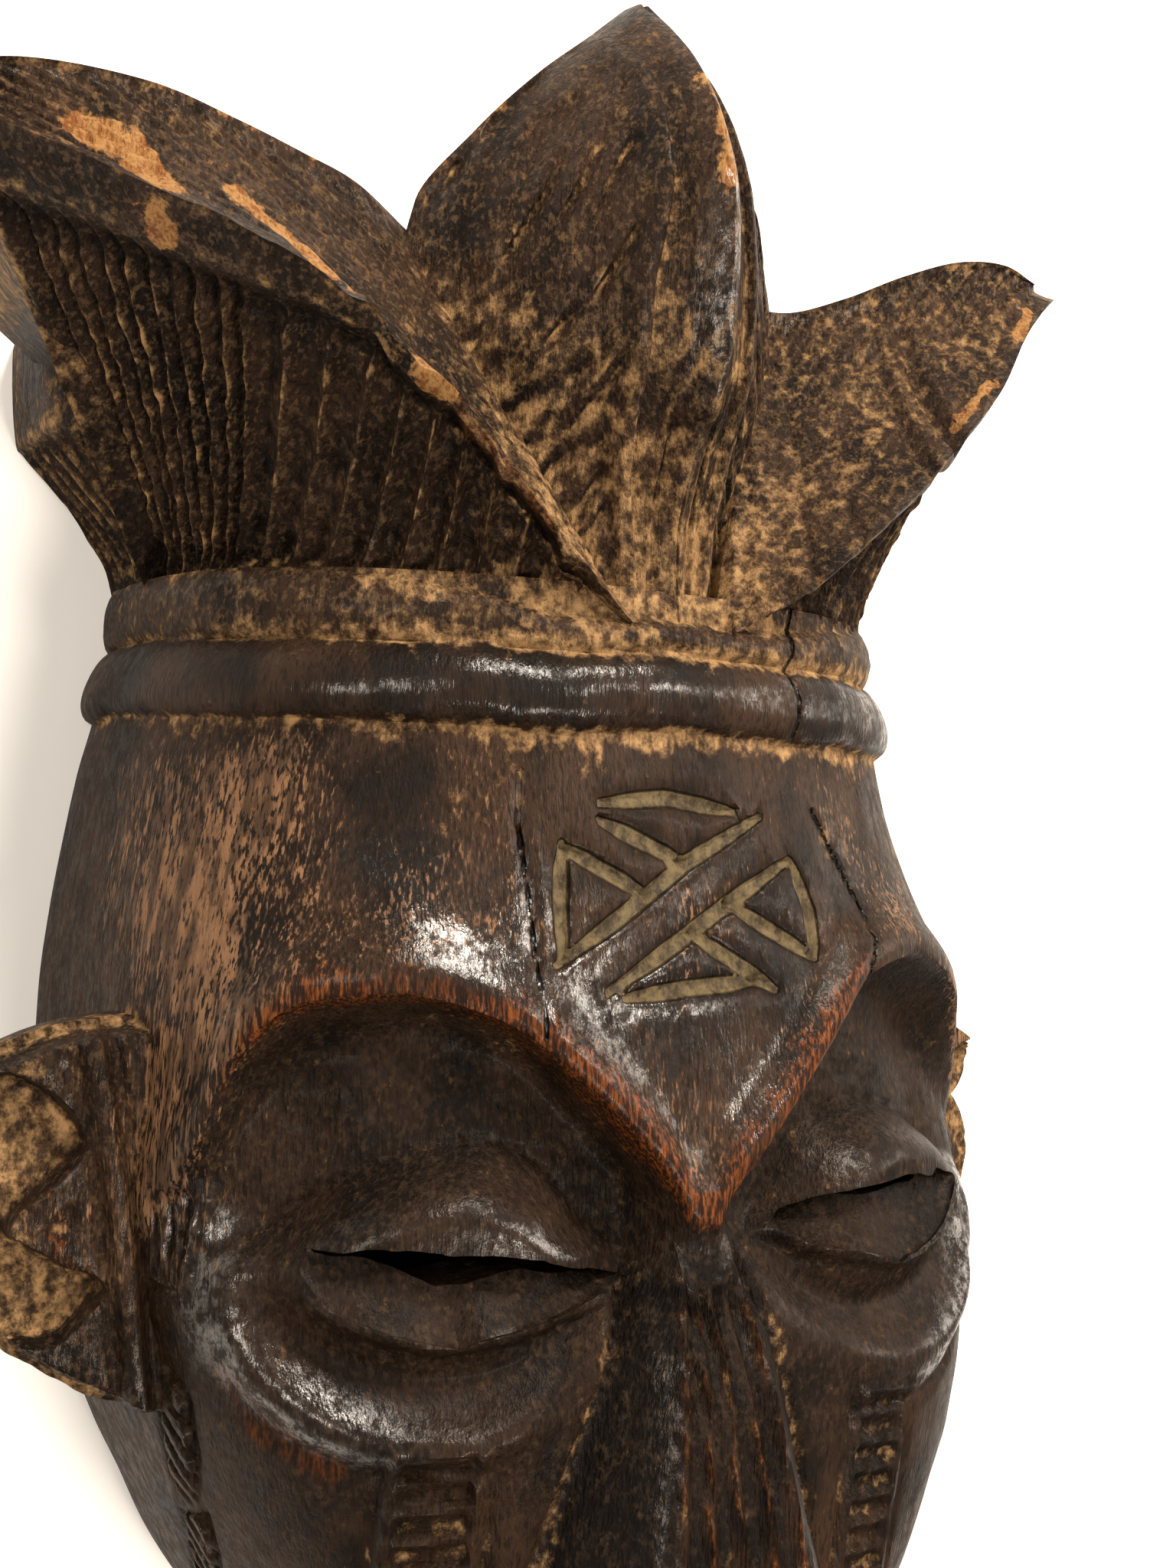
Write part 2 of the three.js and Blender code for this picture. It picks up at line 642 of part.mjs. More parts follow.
const darkWood = new THREE.MeshStandardMaterial({ color: 0x3b2c20, roughness: 0.45, metalness: 0 });
const mask = new THREE.Mesh(toGeometry(makeMask()), darkWood);
mask.name = "mask";

const chokweMask = new THREE.Group();
chokweMask.name = "chokwe_mask";
chokweMask.add(mask);

export default chokweMask;
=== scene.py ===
"""Looks of a carved wooden face mask with a leaf-shaped crown, lying on its flat back.

Lengths in the carving functions are millimetres from the nose line; the finished
mesh is moved and scaled to the frame, which is in metres.
"""
import math

import bpy
import numpy as np
from bpy.props import FloatProperty, FloatVectorProperty, IntProperty, PointerProperty
from mathutils import Matrix, Vector


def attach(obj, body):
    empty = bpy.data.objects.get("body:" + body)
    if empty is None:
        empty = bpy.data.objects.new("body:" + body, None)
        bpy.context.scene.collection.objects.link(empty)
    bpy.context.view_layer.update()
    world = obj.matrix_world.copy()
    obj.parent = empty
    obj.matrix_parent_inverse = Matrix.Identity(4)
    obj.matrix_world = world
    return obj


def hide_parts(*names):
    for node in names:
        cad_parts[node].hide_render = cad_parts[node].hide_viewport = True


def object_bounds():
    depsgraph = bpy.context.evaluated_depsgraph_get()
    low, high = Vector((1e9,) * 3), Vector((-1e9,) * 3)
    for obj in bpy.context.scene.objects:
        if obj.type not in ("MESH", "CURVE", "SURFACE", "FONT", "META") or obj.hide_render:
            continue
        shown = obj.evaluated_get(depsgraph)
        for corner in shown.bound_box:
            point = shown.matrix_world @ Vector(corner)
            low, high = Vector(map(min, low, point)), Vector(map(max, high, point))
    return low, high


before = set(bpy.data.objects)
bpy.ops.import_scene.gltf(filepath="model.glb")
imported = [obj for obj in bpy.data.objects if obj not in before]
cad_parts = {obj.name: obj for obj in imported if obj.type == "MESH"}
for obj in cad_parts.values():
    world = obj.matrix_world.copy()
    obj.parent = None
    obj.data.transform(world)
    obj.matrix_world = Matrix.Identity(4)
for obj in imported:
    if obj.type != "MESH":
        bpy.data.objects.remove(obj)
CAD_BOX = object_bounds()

bl_info = {
    "name": "Carved mask with leaf crown",
    "version": (1, 0, 0),
    "blender": (4, 5, 0),
    "location": "3D View > Sidebar > Mask",
    "description": "Carves and finishes a dark wooden face mask",
    "category": "Add Mesh",
}

MM = 0.001
PER_METRE = 1000
SIDES = (-1, 1)  # the wearer's right, which is the near side in the photograph, and left
NOSE_LINE_X = 6.7278  # the nose line stands this far from the middle of the frame
MOST_TRIANGLES, FEWEST_FACES = 190000, 20000
BOX_GAP = 0.02  # how far the looks stay inside the solid's box
PRESSED_FLAT = 0.05  # what lies lower than this is laid flat on the back
SHARP_ANGLE = math.radians(48)

# The head: the same levels as the solid's.
CHIN_Y = -172
CREST_TIP_Y = 172
SECTION_Z = 35
SECTION_BACK = 80
WALL, CROWN_WALL, CHIN_WALL = 11, 26, 14  # the last two are added towards crown and chin
HOLLOW_BACK = 300  # so deep that the hollow is open at the flat back
FACE_TILT = 0.05
HEAD_LEVELS = [  # y, right, left, front, power
    (60, 75, 69.5, 98, 2.5),
    (45, 75.5, 71.5, 100, 2.5),
    (31, 79.5, 76, 102, 2.5),
    (20, 81.8, 77.5, 104, 2.6),
    (8, 83, 80.5, 106, 2.8),
    (-5, 84.3, 84.5, 109, 3),
    (-20, 85.5, 87.5, 112, 3.2),
    (-50, 87, 90, 115, 3.2),
    (-80, 83, 90, 114, 3.2),
    (-105, 74.8, 88, 112, 3.1),
    (-115, 70.4, 85, 111, 3),
    (-130, 64, 78, 110, 2.9),
    (-150, 51, 62, 105, 2.6),
    (-163, 37, 43, 92, 2.4),
    (-170, 20, 22, 68, 2.2),
    (CHIN_Y, 8, 8, 50, 2.2),
]
BAND_BOTTOM_Y = 31.5
BAND_JOINT_Y = 45.3
BAND_TOP_FRONT_Y = 51
BAND_TOP_SIDE_Y = 58
LOWER_BAND_SWELL = 4.2
UPPER_BAND_SWELL = 2.6
BROW_EDGE_RIGHT = [
    (0, -52), (5, -51), (8, -45.5), (13, -38.8), (24.5, -26.6), (38.7, -15.9),
    (53, -12.3), (66.6, -13.8), (75.5, -22.2), (80, -36), (90, -62),
]
BROW_EDGE_LEFT = [
    (0, -52), (3, -47.5), (11.4, -40.1), (24.4, -25.8), (38.8, -11.3),
    (53, -8.4), (61.2, -10.7), (70, -16), (80, -30), (90, -60),
]
BROW_LEVEL_Y = -20
BROW_RISE = 3.2
SOCKET_DEPTH = 12
SOCKET_FALL = 9
TILT_Y = -20
BEND_TOP_Y, BEND_BOTTOM_Y = 24, -104  # between these the mesh's rows follow the brow
SOCKET_EDGE = [(0, -86), (14, -74), (30, -82), (48, -86), (66, -80), (80, -66), (90, -50)]
EYE_X, EYE_Y, EYE_HALF_WIDTH, EYE_HALF_HEIGHT, EYE_RISE = 47, -55, 32, 18, 11.5
EYE_INNER_HALF = (31, 25)  # half width towards the nose, under and over the eye's middle
ROLL_HALF_WIDTH, ROLL_HALF_HEIGHT, ROLL_WIDTH, ROLL_RISE = 31, 28, 4, 2
LID_DEPTH = 9
LID_COLUMNS, LID_ROWS, LID_CLEAR = 91, 16, 6  # the cut starts this clear of the face
SLIT_FROM_Z, SLIT_TO_Z = 40.0, 140.0  # right through the wall
SLIT_HEIGHT = {-1: (2.4, 3.6), 1: (1.8, 1.8)}  # all along, and added where two cuts met
# Upper and lower edge of each eye opening, from the nose outwards.
UPPER_LID = {
    -1: [
        (13, -60.4), (17, -59.2), (25, -56.6), (33, -54.3),
        (47, -51.8), (58, -50.5), (64, -50.7), (71, -52.3),
    ],
    1: [
        (18, -55.4), (21, -53.3), (33, -50.4), (48, -50),
        (56, -51.2), (57.5, -50.2), (61, -51.2), (66, -53.2),
    ],
}
LOWER_LID = {
    -1: [(13, -60.9), (23, -63.8), (37, -65.7), (47, -66.4), (57, -63.8), (65.5, -59.6), (71, -52.8)],
    1: [(18, -55.9), (24, -59.2), (34, -61.6), (47.6, -64.7), (58, -61.4), (66, -53.7)],
}
NOSE_ROOT_Y, NOSE_TIP_Y, NOSE_END_Y = -57, -122, -128
NOSE_RIDGE_HALF, NOSE_FOOT_HALF = (5.4, 14.8), (12, 32)  # at the root and at the tip
NOSE_ROOT_RISE, NOSE_TIP_RISE, NOSE_FILL = 5, 25, 0.75
MOUTH_Y, MOUTH_HALF_WIDTH, MOUTH_HALF_HEIGHT, MOUTH_RISE, MOUTH_GROOVE = -143, 30, 11, 9, 3
CHIN_SWELL_Y, CHIN_RADIUS, CHIN_RISE = -162, 22, 6

# The crown: rim and crest of each side leaf run from the front outwards.
FOOT = (11, 51, 102)
NOTCH = (39, 124, 63)
RIM = {
    -1: [
        FOOT, (26, 63, 105), (45, 81, 106), (61, 94, 106),
        (82, 104.5, 102), (105, 114, 92), (128, 122, 82),
    ],
    1: [
        FOOT, (28, 61.5, 105), (48, 79, 106), (63, 93.5, 104.5),
        (77, 106.5, 100), (90, 121, 93), (104, 133, 86),
    ],
}
CREST = {
    -1: [
        NOTCH, (52, 129, 68), (64, 130.5, 72), (78, 132, 76),
        (94, 133, 80), (118, 130, 83), (129, 126, 79),
    ],
    1: [
        NOTCH, (47, 123.5, 67), (57, 127, 73), (68, 132.5, 78),
        (80, 137, 82), (91, 138, 84), (102, 136.5, 82),
    ],
}
LEAF_BASE_START, LEAF_BASE_END = 8, 97  # degrees round the neck
NECK_HALF, NECK_FRONT, NECK_POWER = 73, 63, 2.5
INNER_DISH = 5
LEAF_BULGE = 2.6
STROKE_SPACING = {-1: 4.2, 1: 4.6}  # between the long strokes inside a leaf
LEAF_COLUMNS, LEAF_ROWS, LEAF_INNER_ROWS = 321, 66, 44
CREST_LEVELS = [  # y, keel height, half width, edge height
    (46, 101, 12, 84),
    (67, 100.5, 27, 76),
    (84, 105.5, 34, 70),
    (101, 111.5, 41, 66),
    (114, 111.5, 43, 64),
    (129, 110, 40.5, 64),
    (143, 104.5, 31, 68),
    (156, 95.5, 19.5, 72),
    (165, 86, 9.5, 74),
    (CREST_TIP_Y, 76.5, 2, 73.5),
]
CREST_SHIFT = 1.5
CREST_BACK, CREST_ROOT_BACK = 15, 40
KEEL_BREAK_Y, KEEL_BREAK = 88, 1.6  # the keel's lower half has lost its top
KEEL_HALF = 4.2  # half width of the keel's plain strip
REAR_LEVELS = [  # y, half width, front height
    (44, 68, 70),
    (57, 73.5, 62),
    (63, 75.5, 58),
    (70, 80.3, 55),
    (77, 87, 52),
    (86, 94.5, 50),
    (104, 96, 48),
    (112, 92, 44),
    (116, 84, 38),
]
REAR_Z, REAR_BACK, REAR_POWER = 20, 70, 2.8
REAR_FLUTE_DEGREES, REAR_FLUTE_DEPTH = 3.6, 2.3
EAR_X, EAR_Y, EAR_Z, EAR_TURN = 82, -55, 66, 0.2
EAR_REACH, EAR_HALF, EAR_BASE, EAR_RELIEF = 34, 34, 9, 5
# Outlines as shares of the ear's reach and half height: where each bend is drawn to and ends.
EAR_PLATE = [
    (0.5, 1.09, 0.94, 0.72), (0.98, 0.45, 0.82, 0.36), (1.06, 0.1, 1, -0.14),
    (0.94, -0.3, 0.8, -0.38), (1.0, -0.42, 0.79, -0.53), (0.66, -0.6, 0.54, -0.69),
    (0.3, -0.86, 0, -0.94), (-0.1, -0.99, -0.235, -1.02),
]
EAR_ARMS = [
    (0.5, 0.99, 0.86, 0.68), (0.74, 0.78, 0.6, 0.72), (0.36, 0.6, 0.3, 0.4),
    (0.36, 0.28, 0.52, 0.16), (0.6, 0.1, 0.64, 0.04), (0.68, -0.04, 0.61, -0.06),
    (0.5, -0.12, 0.34, -0.22), (0.2, -0.24, 0.18, -0.32), (0.26, -0.42, 0.38, -0.54),
    (0.46, -0.58, 0.62, -0.54), (0.4, -0.72, 0.2, -0.8), (0, -0.92, -0.235, -0.97),
]

# The forehead mark: strokes of the gouge, from point to point.
MARK_STROKES = [
    [(-17.2, 19.1), (-3.7, 20.6), (11.3, 18.6)],
    [(17, 18), (-0.1, 9.2), (-8.7, 3.5), (-27.5, -8.4)],
    [(-17.6, 16.2), (-0.1, 9.2)],
    [(-24.7, 12), (-25.9, 2), (-26.2, -7.6)],
    [(-24.5, 11.4), (-8.7, 3.5)],
    [(23.3, 10.4), (8.3, 2.3), (-0.3, -2.8), (-18.2, -13)],
    [(24.1, 10), (27, 1.5), (27.2, -7)],
    [(8.3, 2.3), (27, -7.2)],
    [(-14.9, -13.8), (-1.8, -12.2), (13.8, -11)],
    [(-0.3, -2.8), (17.4, -12.8)],
]
CRACKS = [
    [(-31.7, 24), (-32.6, 15), (-31.7, 5.5), (-31.4, -4), (-31.2, -13), (-31.9, -20)],
    [(30.7, 19.5), (35.8, 11), (40.6, 2.6), (41.6, -3.7), (38.4, -11)],
    [(29, 60), (28.4, 56.9), (24.5, 45.5), (26.2, 39.9), (24.8, 32.7)],
]
EAR_BORDER = [(10.5, 34), (9, 27), (5, 7), (2.5, -10), (0, -28), (-1, -34)]  # on the ear's own plate
ROLL_CREST = [
    (-77.6, -54), (-77, -60), (-74.4, -69), (-70, -76), (-61, -82.7), (-50, -86), (-40, -86.5),
]
ROLL_FOOT = [
    (-78.5, -55.5), (-77.5, -68), (-74, -78), (-67, -86), (-59, -89.6), (-48, -91), (-39, -90),
]
CHEEK_LINE = [(-12.1, -62), (-17.4, -74.3), (-22, -87.1), (-28.2, -105.9), (-32, -122)]
JAW_ROPE = [  # z, y
    (72.5, -84), (71.4, -90), (67.5, -98.8), (63.9, -109.9), (57, -120), (50, -128),
]
ROPE_BAR = 5.3  # from one slanted bar to the next
LADDER_X, LADDER_LEAN, LADDER_RUNG, RUNG_CUT = 45.5, 0.04, 5.2, 2.0
UPRIGHT_X, UPRIGHT_GROOVE_X = 6.6, 8.6  # from the middle of the ladder
PANEL_Z, PANEL_WIDTH, PANEL_STROKE = 71.4, 9.0, 2.9
MARK_HALF_WIDTH, MARK_DEPTH = 1.8, 1.2
CRACK_HALF_WIDTH, CRACK_DEPTH = 0.9, 0.7
NOSE_FLUTES, NOSE_FLUTE_DEPTH = 4, 3.0
BEAD_LINE = [  # y, x of the bead beside the keel
    (46, 7), (70, 9.5), (82, 11.2), (108, 12), (129, 9.6), (150, 8.6), (162, 10.5), (172, 12),
]

NOISE_CELLS = 32
LATTICE = np.random.default_rng(11).random((NOISE_CELLS,) * 3) * 2 - 1


def linear(code):
    """An sRGB hex colour as a linear RGBA tuple."""
    parts = [int(code[i : i + 2], 16) / 255 for i in (1, 3, 5)]
    flat = [p / 12.92 if p <= 0.04045 else ((p + 0.055) / 1.055) ** 2.4 for p in parts]
    return (*flat, 1.0)


def smooth(lo, hi, v):
    """An even step from 0 at one value to 1 at the other."""
    t = np.clip((v - lo) / (hi - lo), 0, 1)
    return t * t * (3 - 2 * t)


def bell(v, width):
    """A soft bump, 1 where the value is nothing."""
    return np.exp(-((v / width) ** 2))


def lerp(a, b, t):
    """From a to b by the share t."""
    return a + (b - a) * t


def wood_noise(x, y, z, size):
    """Smooth bumps from -1 to 1, `size` mm apart along x, y and z."""
    sx, sy, sz = np.broadcast_to(np.asarray(size, float), (3,))
    x, y, z = np.broadcast_arrays(x / sx, y / sy, z / sz)
    cells = [np.floor(v).astype(int) for v in (x, y, z)]
    parts = [v - c for v, c in zip((x, y, z), cells)]
    parts = [f * f * (3 - 2 * f) for f in parts]
    total = np.zeros(x.shape)
    for corner in np.ndindex(2, 2, 2):
        weight = np.ones(x.shape)
        for f, c in zip(parts, corner):
            weight = weight * (f if c else 1 - f)
        i, j, k = [(c + o) % NOISE_CELLS for c, o in zip(cells, corner)]
        total += weight * LATTICE[i, j, k]
    return total


def through(points):
    """A curve through (x, y) points that doesn't overshoot them."""
    xs, ys = np.array(sorted(points), float).T
    slope = np.diff(ys) / np.diff(xs)
    tangent = np.concatenate([slope[:1], np.zeros(len(xs) - 2), slope[-1:]])
    product = slope[:-1] * slope[1:]
    total = np.where(product > 0, slope[:-1] + slope[1:], 1)
    tangent[1:-1] = np.where(product > 0, 2 * product / total, 0)

    def read(x):
        v = np.clip(x, xs[0], xs[-1])
        i = np.clip(np.searchsorted(xs, v) - 1, 0, len(xs) - 2)
        h = xs[i + 1] - xs[i]
        t = (v - xs[i]) / h
        low = (2 * t**3 - 3 * t**2 + 1) * ys[i] + (t**3 - 2 * t**2 + t) * h * tangent[i]
        return low + (3 * t**2 - 2 * t**3) * ys[i + 1] + (t**3 - t**2) * h * tangent[i + 1]

    return read


def curves(levels):
    """A curve for every column of a table after the first, which holds the heights."""
    heights, *columns = np.array(levels, float).T
    return [through(list(zip(heights, column))) for column in columns]


def guide(points, side):
    """A centripetal spline through (x, y, z) points, read from 0 to 1."""
    p = np.array(points, float) * (side, 1, 1)
    p = np.vstack([2 * p[0] - p[1], p, 2 * p[-1] - p[-2]])
    step = np.linalg.norm(np.diff(p, axis=0), axis=1) ** 0.5

    def read(t):
        place = np.clip(t, 0, 1) * (len(points) - 1)
        i = np.minimum(place.astype(int), len(points) - 2)
        w = (place - i)[:, None]
        a, b, c, d = (p[i + k] for k in range(4))
        da, db, dc = (step[i + k][:, None] for k in range(3))
        start = ((b - a) / da - (c - a) / (da + db) + (c - b) / db) * db
        end = ((c - b) / db - (d - b) / (db + dc) + (d - c) / dc) * db
        square = 3 * (c - b) - 2 * start - end
        return b + start * w + square * w**2 + (2 * (b - c) + start + end) * w**3

    return read


def line_distance(x, y, points):
    """Distance to a line of points, and how far along it the nearest place is."""
    best = np.full(np.shape(x), 1e9)
    along = np.zeros(np.shape(x))
    start = 0.0
    for (ax, ay), (bx, by) in zip(points[:-1], points[1:]):
        dx, dy = bx - ax, by - ay
        length = math.hypot(dx, dy)
        t = np.clip(((x - ax) * dx + (y - ay) * dy) / length**2, 0, 1)
        d = np.hypot(x - ax - t * dx, y - ay - t * dy)
        along = np.where(d < best, start + t * length, along)
        best = np.minimum(best, d)
        start += length
    return best, along


def distance_to(x, y, points):
    """Distance to a line of points."""
    return line_distance(x, y, points)[0]


def inside_depth(x, y, outline):
    """Distance inside a closed outline; negative outside it."""
    closed = list(outline) + [outline[0]]
    d = distance_to(x, y, closed)
    inside = np.zeros(np.shape(x), bool)
    for (ax, ay), (bx, by) in zip(closed[:-1], closed[1:]):
        if ay != by:
            crosses = ((ay > y) != (by > y)) & (x < ax + (y - ay) * (bx - ax) / (by - ay))
            inside ^= crosses
    return np.where(inside, d, -d)


HEAD_RIGHT, HEAD_LEFT, HEAD_FRONT, HEAD_POWER = curves(HEAD_LEVELS)
BROW_RIGHT, BROW_LEFT = through(BROW_EDGE_RIGHT), through(BROW_EDGE_LEFT)
SOCKET_LINE = through(SOCKET_EDGE)


def brow_line(x):
    """Height of the brow's lower edge."""
    return np.where(x < 0, BROW_RIGHT(-x), BROW_LEFT(x))


def section_radius(phi, half, front, back, power):
    """Radius of a rounded section in one direction, which is 0 straight to the front."""
    along = np.where(np.cos(phi) > 0, front, back)
    return (np.abs(np.sin(phi) / half) ** power + np.abs(np.cos(phi) / along) ** power) ** (-1 / power)


def head_radius(phi, y, back=SECTION_BACK):
    """Radius of the plain head, before anything is carved on it."""
    half = np.where(np.sin(phi) < 0, HEAD_RIGHT(y), HEAD_LEFT(y))
    return section_radius(phi, half, HEAD_FRONT(y) - SECTION_Z, back, HEAD_POWER(y))


def band_top(x):
    """Height of the upper band's top edge, which rises to the sides."""
    return lerp(BAND_TOP_FRONT_Y, BAND_TOP_SIDE_Y, smooth(10, 70, np.abs(x)))


def band_swell(x, y, z):
    """The two bands round the head, with the carver's uneven edges."""
    uneven = 0.9 * wood_noise(x, 0, z, 22)
    y = y + uneven + 0.5 * wood_noise(x, 7, z, 8) + 0.25 * wood_noise(x, y, z, 3)

    def roll(lo, hi):
        return np.sqrt(np.maximum(0, 1 - ((2 * y - lo - hi) / (hi - lo)) ** 2))

    top = band_top(x)
    lower = LOWER_BAND_SWELL * roll(BAND_BOTTOM_Y, BAND_JOINT_Y) * (1 + 0.1 * wood_noise(x, 3, z, 16))
    upper = UPPER_BAND_SWELL * roll(BAND_JOINT_Y, top) * (1 + 0.35 * wood_noise(x, 5, z, 12))
    upper = upper + 0.3 * wood_noise(x, y, z, (3.5, 2.2, 3.5)) * (y > BAND_JOINT_Y)
    return np.where(y < BAND_JOINT_Y, lower * (y > BAND_BOTTOM_Y), upper * (y < top))


def socket_share(x, y):
    """How far the socket is cut in: 0 at the brow's edge, 1 under it."""
    above = 1 - np.clip((brow_line(x) - y + 0.5) / SOCKET_FALL, 0, 1)
    fade = smooth(0, 24, y - SOCKET_LINE(np.abs(x))) * (1 - smooth(70, 90, np.abs(x)))
    return (1 - above**2) * fade


def brow_and_socket(x, y):
    """The brow's ridge, the roll round the eye and the socket between them."""
    d = np.abs(x)
    below = brow_line(x) - y
    ridge = bell(below + 4, 6) * (1 - 0.6 * smooth(60, 85, d))
    around = np.hypot((d - EYE_X) / ROLL_HALF_WIDTH, (y - EYE_Y) / ROLL_HALF_HEIGHT)
    roll = bell((around - 1) * ROLL_HALF_HEIGHT, ROLL_WIDTH) * smooth(-50, -64, y) * smooth(24, 40, d)
    return BROW_RISE * ridge + ROLL_RISE * roll - SOCKET_DEPTH * socket_share(x, y)


def eye_inside(x, y):
    """1 in the middle of an eye, 0 on its rim and less outside."""
    across = np.abs(x) - EYE_X
    half = np.where(across < 0, lerp(*EYE_INNER_HALF, smooth(-58, -50, y)), EYE_HALF_WIDTH)
    return 1 - (across / half) ** 2 - np.abs((y - EYE_Y) / EYE_HALF_HEIGHT) ** 1.4


def eye(x, y):
    """How far an eye's bulge stands out of the socket."""
    return EYE_RISE * smooth(-0.16, 0.7, eye_inside(x, y))


def tilt(y):
    """How much the face leans, fading out towards the forehead."""
    return FACE_TILT * (1 - smooth(-45, 20, y))


def nose_halves(y):
    """Half widths of the nose's flat front and of its foot, and how far down it is."""
    t = np.clip((NOSE_ROOT_Y - y) / (NOSE_ROOT_Y - NOSE_TIP_Y), 0, 1)
    return lerp(*NOSE_RIDGE_HALF, t), lerp(*NOSE_FOOT_HALF, t), t


def nose(x, y):
    """How far the nose stands out, with a flat front and straight flanks."""
    ridge, foot, t = nose_halves(y)
    rise = lerp(NOSE_ROOT_RISE, NOSE_TIP_RISE, t) * smooth(NOSE_ROOT_Y + 10, NOSE_ROOT_Y - 4, y)
    end = smooth(NOSE_END_Y - 3, NOSE_TIP_Y, y)
    across = np.abs(x + tilt(y) * (TILT_Y - y))
    side = 1 - np.clip((across - ridge) / (foot - ridge), 0, 1)
    return (rise + NOSE_FILL * SOCKET_DEPTH * socket_share(x, y)) * side * end


def mouth_and_chin(x, y):
    """Plain lips with a seam between them, and the swell of the chin."""
    inside = 1 - (x / MOUTH_HALF_WIDTH) ** 2 - ((y - MOUTH_Y) / MOUTH_HALF_HEIGHT) ** 2
    lips = MOUTH_RISE * np.maximum(inside, 0) ** 0.6
    seam = MOUTH_GROOVE * bell(y - MOUTH_Y, 1.6) * smooth(0.02, 0.2, inside)
    return lips - seam + CHIN_RISE * bell(np.hypot(x, y - CHIN_SWELL_Y), CHIN_RADIUS)


def skew(x, y):
    """The face is turned a little under the crown."""
    amount = tilt(y)
    return x + amount * (TILT_Y - y), y + amount * x * (1 - smooth(-120, -172, y))


def unskew(x, y):
    """From where a place is seen to where it was laid out, near enough."""
    amount = tilt(y)
    return x - amount * (TILT_Y - y), y - amount * x


def bend(phi, level):
    """Rows follow the brow, so that its edge comes out clean."""
    x = head_radius(phi, np.full_like(phi, BROW_LEVEL_Y)) * np.sin(phi)
    offset = (brow_line(x) - BROW_LEVEL_Y) * smooth(100, 72, np.degrees(np.abs(phi)))
    above = np.clip((BEND_TOP_Y - level) / (BEND_TOP_Y - BROW_LEVEL_Y), 0, 1)
    below = np.clip((level - BEND_BOTTOM_Y) / (BROW_LEVEL_Y - BEND_BOTTOM_Y), 0, 1)
    return level + offset * np.minimum(above, below)


def gouge(distance, half_width, depth):
    """A cut with a round bottom along a line."""
    return -depth * (1 - smooth(0.25 * half_width, half_width, distance))


def ladder(x, y, side):
    """The carved ladder on a cheek: two uprights with cuts between its rungs."""
    centre = LADDER_X * side + LADDER_LEAN * (y + 90) * side
    across = (x - centre) * side
    height_share = smooth(-84.5, -87, y) * smooth(-137, -133, y)
    inner = smooth(6.2, 5.2, np.abs(across))
    rung = np.mod((y + 86 + 0.12 * across) / LADDER_RUNG, 1)
    cut = -RUNG_CUT * smooth(0.0, 0.25, rung) * smooth(1.0, 0.55, rung) * inner
    uprights = 0.7 * bell(np.abs(across) - UPRIGHT_X, 0.8)
    uprights = uprights - 0.9 * bell(np.abs(across) - UPRIGHT_GROOVE_X, 0.8)
    return (cut + uprights) * height_share


def side_details(z, y):
    """What is carved on the side of the head, laid out by height above the back and by y."""
    # A panel of upright cuts between the ear and the socket, with a sharp ledge round it.
    across = z - PANEL_Z
    panel = smooth(-0.3, 0.3, across) * smooth(PANEL_WIDTH, PANEL_WIDTH - 0.5, across)
    panel = panel * smooth(-47.4, -48.2, y) * smooth(-63.6, -63, y)
    strokes = 0.5 + 0.5 * np.cos(2 * np.pi * across / PANEL_STROKE)
    out = 0.4 * panel - panel * 1.7 * strokes**1.4
    out = out + 1.3 * bell(across - 9.6, 0.9) * smooth(-44, -48, y) * smooth(-67, -63, y)
    out = out - 1.0 * bell(y + 64.6, 0.8) * smooth(-1, 0, across) * smooth(10, 8, across)
    # A rope of slanted bars runs down the jaw.
    d, along = line_distance(z, y, JAW_ROPE)
    middle = np.interp(-y, [-q for _, q in JAW_ROPE], [p for p, _ in JAW_ROPE])
    bars = np.mod((along - 0.8 * (z - middle)) / ROPE_BAR, 1)
    rope = smooth(4.0, 3.2, d) * (3.0 * smooth(0.05, 0.35, bars) * smooth(0.95, 0.75, bars) - 1.9)
    return out + rope - 1.3 * bell(d - 4.6, 0.9)


def stroke_distance(x, y, stroke):
    """Distance to a gouge stroke, stretched towards its pointed ends."""
    d, along = line_distance(x, y, stroke)
    length = sum(math.dist(a, b) for a, b in zip(stroke[:-1], stroke[1:]))
    full = smooth(-0.12 * length, 0.3 * length, along) * smooth(1.12 * length, 0.7 * length, along)
    return d / (0.45 + 0.65 * full)


